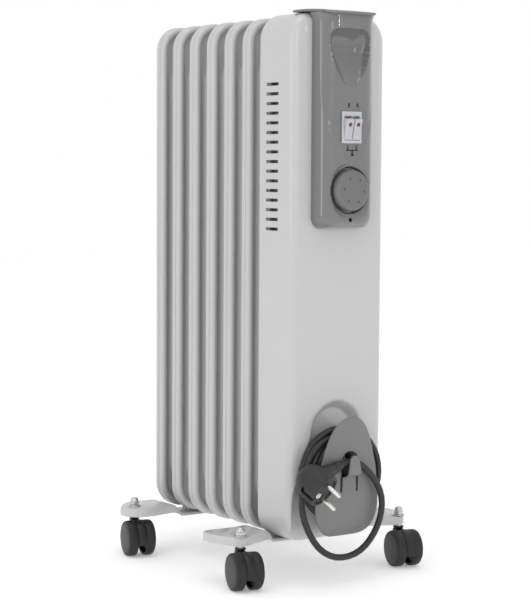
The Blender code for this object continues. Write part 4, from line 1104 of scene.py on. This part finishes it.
# %% U bolts
U_BOLT_Y = 0.036
U_BOLT_RADIUS = 0.0025
NUT_RADIUS = 0.0050
hexagon = [(NUT_RADIUS * math.cos(a), NUT_RADIUS * math.sin(a)) for a in turns(6)]
for end, x in (("front", LAST_FIN_X - FIN_PITCH / 2), ("rear", FIRST_FIN_X + FIN_PITCH / 2)):
    rings = []
    path = [(U_BOLT_Y, 0.0365), (U_BOLT_Y, 0.060)]
    path += [(U_BOLT_Y * math.cos(a), LOWER_HUB_Z + U_BOLT_Y * math.sin(a))
             for a in (math.pi * i / 24 for i in range(25))]
    path += [(-U_BOLT_Y, 0.060), (-U_BOLT_Y, 0.0365)]
    for i, (y, z) in enumerate(path):
        before, after = path[max(i - 1, 0)], path[min(i + 1, len(path) - 1)]
        ahead = Vector((0, after[0] - before[0], after[1] - before[1])).normalized()
        side = Vector((1, 0, 0)).cross(ahead)
        rings.append([Vector((x, y, z))
                      + U_BOLT_RADIUS * (math.cos(a) * Vector((1, 0, 0)) + math.sin(a) * side)
                      for a in turns(16)])
    parts = [(loft("u bolt", rings), Matrix.Identity(4))]
    for side in (-1, 1):
        low = STRIP_TOP - SHEET - 0.0003 - 0.0034
        nut = loft("nut", [[(px, py, h) for px, py in hexagon] for h in (0.0, 0.0033)], smooth_angle=20)
        parts.append((nut, at(x, side * U_BOLT_Y, low)))
    piece(f"{end}_clamp", joined(f"{end} clamp", parts, last_slot=0), ZINC,
          replaces=(f"{end}_u_bolt",))
print("u bolts", 2)

# %% [markdown]
# ## Casters
# A stem, a domed cap nut, a hood that swivels on the stem, and two wheels on one axle. The wheels are
# polypropylene mouldings, hollow on the inner side: a dark rounded tread and a lighter, slightly domed
# disc on the outside. One mesh of each kind is shared by all four casters.

# %% Caster parts
WHEEL_RADIUS = 0.020
WHEEL_WIDTH = 0.011
HOOD_WIDTH = 0.0096
WHEEL_GAP = 0.0003
CAP_NUT_RADIUS = 0.0055
CASTER_TRAIL = 0.013
CASTER_SWIVEL = math.radians(-13.5)
half_wheel = WHEEL_WIDTH / 2
tread = lathe("tread", [(0.0030, -half_wheel + 0.0045), (0.0170, -half_wheel + 0.0045),
                        (0.0178, -half_wheel + 0.0002), (0.0183, -half_wheel), (0.0196, -half_wheel),
                        (WHEEL_RADIUS, -half_wheel + 0.0006), (WHEEL_RADIUS, half_wheel - 0.0040),
                        (0.0198, half_wheel - 0.0026), (0.0193, half_wheel - 0.0014),
                        (0.0184, half_wheel - 0.0007), (0.0177, half_wheel - 0.0007),
                        (0.0177, half_wheel - 0.0016), (0.0030, half_wheel - 0.0016)], 96)
disc = lathe("disc", [(0.0174, half_wheel - 0.0018), (0.0174, half_wheel - 0.0009),
                      (0.0170, half_wheel - 0.0005), (0.0150, half_wheel - 0.0001),
                      (0.0110, half_wheel + 0.0003), (0.0060, half_wheel + 0.0005),
                      (0.0, half_wheel + 0.0006)], 96)
wheel = joined("caster wheel", [(tread, Matrix.Identity(4)), (disc, Matrix.Identity(4))])
stem = lathe("stem", [(0, 0.0600), (0.0026, 0.0604), (0.0030, 0.0598), (0.0030, 0.0255), (0.0024, 0.0250),
                      (0, 0.0250)], 32)


def cap_nut():
    """A hexagon nut with a domed cap, on a flanged washer."""
    washer = lathe("washer", [(0.0034, 0.0), (0.0070, 0.0), (0.0072, 0.0004), (0.0070, 0.0012),
                              (0.0034, 0.0014)], 48)
    flats = [(CAP_NUT_RADIUS * math.cos(a), CAP_NUT_RADIUS * math.sin(a)) for a in turns(6)]
    prism = loft("flats", [[(px * s, py * s, h) for px, py in flats]
                           for s, h in ((0.96, 0.0013), (1.0, 0.0018), (1.0, 0.0050), (0.93, 0.0056))],
                 smooth_angle=20)
    dome = lathe("dome", [(0.0046, 0.0050), (0.0046, 0.0060), (0.0041, 0.0082), (0.0030, 0.0096),
                          (0.0016, 0.0101), (0, 0.0103)], 48)
    return joined("cap nut", [(part, Matrix.Identity(4)) for part in (washer, prism, dome)], last_slot=0)


def hood():
    """The web between the wheels with the stem's socket and its collar."""
    reach = WHEEL_RADIUS + 0.0002
    angles = [math.radians(-18 + 216 * i / 48) for i in range(49)]
    path = [(CASTER_TRAIL + reach * math.cos(a), WHEEL_RADIUS + reach * math.sin(a)) for a in angles]
    rings = [[(CASTER_TRAIL + (x - CASTER_TRAIL) * s, y, WHEEL_RADIUS + (z - WHEEL_RADIUS) * s)
              for x, z in path]
             for y, s in ((-HOOD_WIDTH / 2, 0.99), (-HOOD_WIDTH / 2 + 0.0003, 1.0),
                          (HOOD_WIDTH / 2 - 0.0003, 1.0), (HOOD_WIDTH / 2, 0.99))]
    mesh = loft("hood", rings)
    mesh = carved(mesh, box_mesh("socket", (-0.0056, -HOOD_WIDTH / 2 + 0.0001, 0.0150),
                                 (0.009, HOOD_WIDTH / 2 - 0.0001, 0.0395), 0.0012), "UNION")
    collar = lathe("collar", [(0.0044, 0.030), (0.0044, 0.0398), (0.0054, 0.0403), (0.0058, 0.0409),
                              (0.0058, 0.0420), (0.0054, 0.0427), (0.0040, 0.0428), (0.0036, 0.0425),
                              (0.0036, 0.030)], 48)
    return carved(mesh, collar, "UNION")


hood_mesh, nut_mesh = hood(), cap_nut()
print("wheel", len(wheel.polygons), "hood", len(hood_mesh.polygons), "nut", len(nut_mesh.polygons), "faces")

# %% Casters in place
for end, bolt_x in (("front", FRONT_BOLT_X), ("rear", REAR_BOLT_X)):
    for side, word in ((-1, "left"), (1, "right")):
        name = f"{end}_{word}"
        bolt = at(bolt_x, side * BOLT_Y)
        swivel = bolt @ Matrix.Rotation(CASTER_SWIVEL, 4, "Z")
        piece(f"{name}_stem_pin", stem, ZINC, replaces=(f"{name}_caster_stem",), place=bolt)
        piece(f"{name}_cap_nut", nut_mesh, ZINC, replaces=(f"{name}_caster_nut",),
              place=bolt @ at(0, 0, PLATFORM_TOP + 0.0003, Matrix.Rotation(0.4 + side, 4, "Z")))
        piece(f"{name}_hood", hood_mesh, HOOD_PP, body=f"{name}_caster",
              replaces=(f"{name}_caster_hood",), place=swivel)
        for wheel_side, letter in ((-1, "a"), (1, "b")):
            middle = wheel_side * (HOOD_WIDTH / 2 + WHEEL_GAP + half_wheel)
            outward = Matrix.Rotation(-wheel_side * math.pi / 2, 4, "X")
            piece(f"{name}_twin_wheel_{letter}", wheel, [WHEEL_PP, HUBCAP_PP],
                  body=f"{name}_roller_{letter}", replaces=(f"{name}_wheel_{letter}",),
                  place=swivel @ at(CASTER_TRAIL, middle, WHEEL_RADIUS, outward))
print("casters", 4)

# %% [markdown]
# ## The lead's holder
# A leaf of grained ABS that stands off the recess on a round spool, so the lead winds on the spool
# behind it. Its edges curl back and its top flares outward. A tongue steps out of the plate below a
# round topped opening and stands up in front of it, between two slots, to hold the lead's loop. A dark
# disc just inside the spool's end is painted shade: it stands for the shade in the hollow spool.

# %% Holder plate
PLATE_MIDDLE = 0.108
PLATE_WALL = 0.0026
OPENING_RADIUS = 0.0113
OPENING_BASE = 0.1150
OPENING_MIDDLE = 0.1310
SLOT_Y = 0.0104
TONGUE_FRONT = HALF_LENGTH


def plate_x(share, z):
    """Front of the plate: it leans outward to the top and curls back at its bottom and edges."""
    curl = max(0.0, (0.0622 - z) / 0.0116)
    flare = max(0.0, (z - 0.142) / 0.036)
    return (RECESS_FLOOR + 0.0306 + 0.05 * (z - 0.063) + 0.003 * flare ** 2 - 0.0035 * curl ** 2
            - 0.0024 * share ** 2)


plate_half = [(0.0, 0.0506), (0.0100, 0.0507), (0.020, 0.0513), (0.0265, 0.0537), (0.0325, 0.0586),
              (0.0372, 0.0660), (0.0400, 0.0735), (0.0411, 0.0810), (0.0411, 0.0900), (0.0388, 0.1100),
              (0.0348, 0.1300), (0.0295, 0.1480), (0.0230, 0.1630), (0.0145, 0.1735), (0.0070, 0.1775),
              (0.0, 0.1786)]
right_edge = smooth_line(plate_half, 48)
plate_line = [tuple(p) for p in right_edge]
plate_line += [(-y, z) for y, z in reversed([tuple(p) for p in right_edge[1:-1]])]


def plate_ring(share, back, shrink=0.0):
    s = share * (1 - shrink)
    return [(plate_x(share, PLATE_MIDDLE + (z - PLATE_MIDDLE) * s) - back, y * s,
             PLATE_MIDDLE + (z - PLATE_MIDDLE) * s)
            for y, z in plate_line]


shares = [0.04 + 0.96 * i / 20 for i in range(21)]
plate_rings = [plate_ring(s, PLATE_WALL) for s in shares]
plate_rings += [plate_ring(1.0, back, shrink)
                for back, shrink in ((0.0020, -0.008), (0.0008, -0.009), (0.0002, -0.004))]
plate_rings += [plate_ring(s, 0.0) for s in reversed(shares)]
plate = loft("holder plate", plate_rings)
opening = [(OPENING_RADIUS, OPENING_BASE)]
opening += [(OPENING_RADIUS * math.cos(a), OPENING_MIDDLE + OPENING_RADIUS * math.sin(a))
            for a in (math.pi * i / 20 for i in range(21))]
opening += [(-OPENING_RADIUS, OPENING_BASE)]
plate = carved(plate, loft("clip opening", [[(x, y, z) for y, z in opening]
                                            for x in (RECESS_FLOOR + 0.015, RECESS_FLOOR + 0.06)]))
for side in (-1, 1):
    slot = box_mesh("slot", (RECESS_FLOOR + 0.015, side * SLOT_Y - 0.0015, 0.0985),
                    (RECESS_FLOOR + 0.060, side * SLOT_Y + 0.0015, 0.1156), 0.0006)
    plate = carved(plate, slot)
print("holder plate", len(plate.polygons), "faces")

# %% Tongue and spool
TONGUE_WALL = 0.0022
back = TONGUE_FRONT - TONGUE_WALL
root = plate_x(0, 0.1140) - TONGUE_WALL
tongue_line = [(root - 0.0002, 0.1108), (root, 0.1126), (root + 0.0018, 0.1146), (back - 0.0030, 0.1164),
               (back - 0.0006, 0.1184), (back, 0.1220), (back - 0.0002, 0.1300), (back - 0.0008, 0.1384)]
tongue_rings = []
centre = [tuple(p) for p in smooth_line(tongue_line, 30)]
TONGUE_TIP = 0.1384
for i, (x, z) in enumerate(centre):
    width = 0.0088 - 0.0030 * float(eased((z - 0.1150) / 0.0230))
    width *= math.sqrt(max(0.02, 1 - max(0.0, (z - TONGUE_TIP + 0.0060) / 0.0062) ** 2))
    tongue_rings.append([(x + dx, y * width, z)
                         for y, dx in ((-1, 0.0003), (-0.93, 0.0), (0.93, 0.0), (1, 0.0003), (1, 0.0016),
                                       (0.92, TONGUE_WALL), (-0.92, TONGUE_WALL), (-1, 0.0016))])
plate = carved(plate, loft("tongue", tongue_rings), "UNION")
piece("holder_plate", plate, HOLDER_ABS, replaces=("cord_holder_plate",))
spool_length = plate_x(0.3, COIL_Z) - PLATE_WALL - 0.003 - RECESS_FLOOR
spool = lathe("spool", [(0.0140, 0.0), (SPOOL_RADIUS, 0.0), (SPOOL_RADIUS, spool_length - 0.0010),
                        (0.0140, spool_length - 0.0010)], 64)
# A dark disc inside the spool's end is painted shade for the shade in the hollow spool. It takes the hood's
# black polypropylene.
painted_shade_disc = lathe("painted_shade_disc", [(0, spool_length - 0.0008), (0.0172, spool_length - 0.0008),
                            (0.0176, spool_length - 0.0010), (0, spool_length - 0.0012)], 64)
spool = joined("holder spool", [(spool, Matrix.Identity(4)), (painted_shade_disc, Matrix.Identity(4))])
piece("holder_spool", spool, [HOLDER_ABS, HOOD_PP], replaces=("cord_holder_hub",),
      place=at(RECESS_FLOOR + 0.0003, 0, COIL_Z, TO_X))
print("spool", round(spool_length * 1000, 1), "mm long")

# %% [markdown]
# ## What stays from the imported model
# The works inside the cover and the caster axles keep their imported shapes, and take the finish of what
# they are made of.

# %% Finishes for the works
works = {"heating_element": COPPER, "thermal_cutout": PHENOLIC, "heat_shield": ZINC,
         "terminal_block": PHENOLIC,
         "internal_wires": WIRE_SILICONE, "switch_terminals": ZINC, "thermostat_body": PHENOLIC,
         "thermostat_shaft": ZINC}
works.update({f"{end}_{word}_caster_axle": ZINC for end in ("front", "rear") for word in ("left", "right")})
for node_name, paint in works.items():
    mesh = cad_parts[node_name].data
    mesh.materials.clear()
    mesh.materials.append(paint)
print("works", len(works))

# %% [markdown]
# ## Floor and light
# A plain pale floor, faintly self-lit, runs out past the view under an even white sky, which
# the camera sees a little brighter than the heater does. Three soft boxes, to the left, in front and
# overhead, give the enamel its long soft highlights and the grey panel its bright edges. Two small
# lamps put the short highlights on the panel's top.

# %% Floor
floor_bm = bmesh.new()
bmesh.ops.create_grid(floor_bm, x_segments=8, y_segments=8, size=6.0)
floor = bpy.data.objects.new("studio_floor", to_mesh(floor_bm, "studio floor"))
scene.collection.objects.link(floor)
floor_paint, floor_tree, floor_shader, floor_place = start_material(
    "backlit white floor", Roughness=0.9, Emission_Color=linear("FFFFFF"), Emission_Strength=0.22)
floor_cloud = add_node(floor_tree, "TexNoise", None, Vector=floor_place, Scale=2.0, Detail=2.0)
varied_colour(floor_tree, floor_shader, floor_cloud.outputs["Fac"], "FAFAFA", "FCFCFC")
floor.data.materials.append(floor_paint)

world = bpy.data.worlds.new("white sky")
scene.world = world
world.use_nodes = True
sky_tree = world.node_tree
seen = sky_tree.nodes["Background"]
seen.inputs["Color"].default_value = linear("FFFFFF")
seen.inputs["Strength"].default_value = 1.0
lighting = add_node(sky_tree, "Background", None, Color=linear("FFFFFF"), Strength=0.84)
direct = add_node(sky_tree, "LightPath")
choose = add_node(sky_tree, "MixShader", None, Fac=direct.outputs["Is Camera Ray"], _1=lighting.outputs[0],
                  _2=seen.outputs[0])
sky_tree.links.new(choose.outputs[0], sky_tree.nodes["World Output"].inputs["Surface"])
print("floor and sky")

# %% Soft boxes


def soft_box(name, place, target, size, watts):
    """A rectangular area light aimed at a point."""
    light = bpy.data.lights.new(name, "AREA")
    light.shape = "RECTANGLE"
    light.size, light.size_y = size
    light.energy = watts
    item = bpy.data.objects.new(name, light)
    aim = Vector(target) - Vector(place)
    item.matrix_world = Matrix.Translation(place) @ aim.to_track_quat("-Z", "Y").to_matrix().to_4x4()
    item.visible_camera = False
    scene.collection.objects.link(item)


soft_box("left box", (0.9, -2.1, 0.9), (0.05, 0.0, 0.32), (0.35, 1.3), 4.5)
soft_box("front box", (2.3, -0.2, 1.0), (0.05, 0.0, 0.40), (0.30, 0.6), 2.2)
soft_box("top box", (0.3, -0.3, 2.1), (0.0, 0.0, 0.3), (0.9, 0.9), 4.0)
soft_box("left lamp", (1.5, -1.5, 1.5), (0.12, 0.0, 0.55), (0.10, 0.14), 0.9)
soft_box("right lamp", (1.87, 1.295, 0.76), (0.12, 0.0, 0.57), (0.016, 0.024), 0.06)
print("three soft boxes and two lamps")
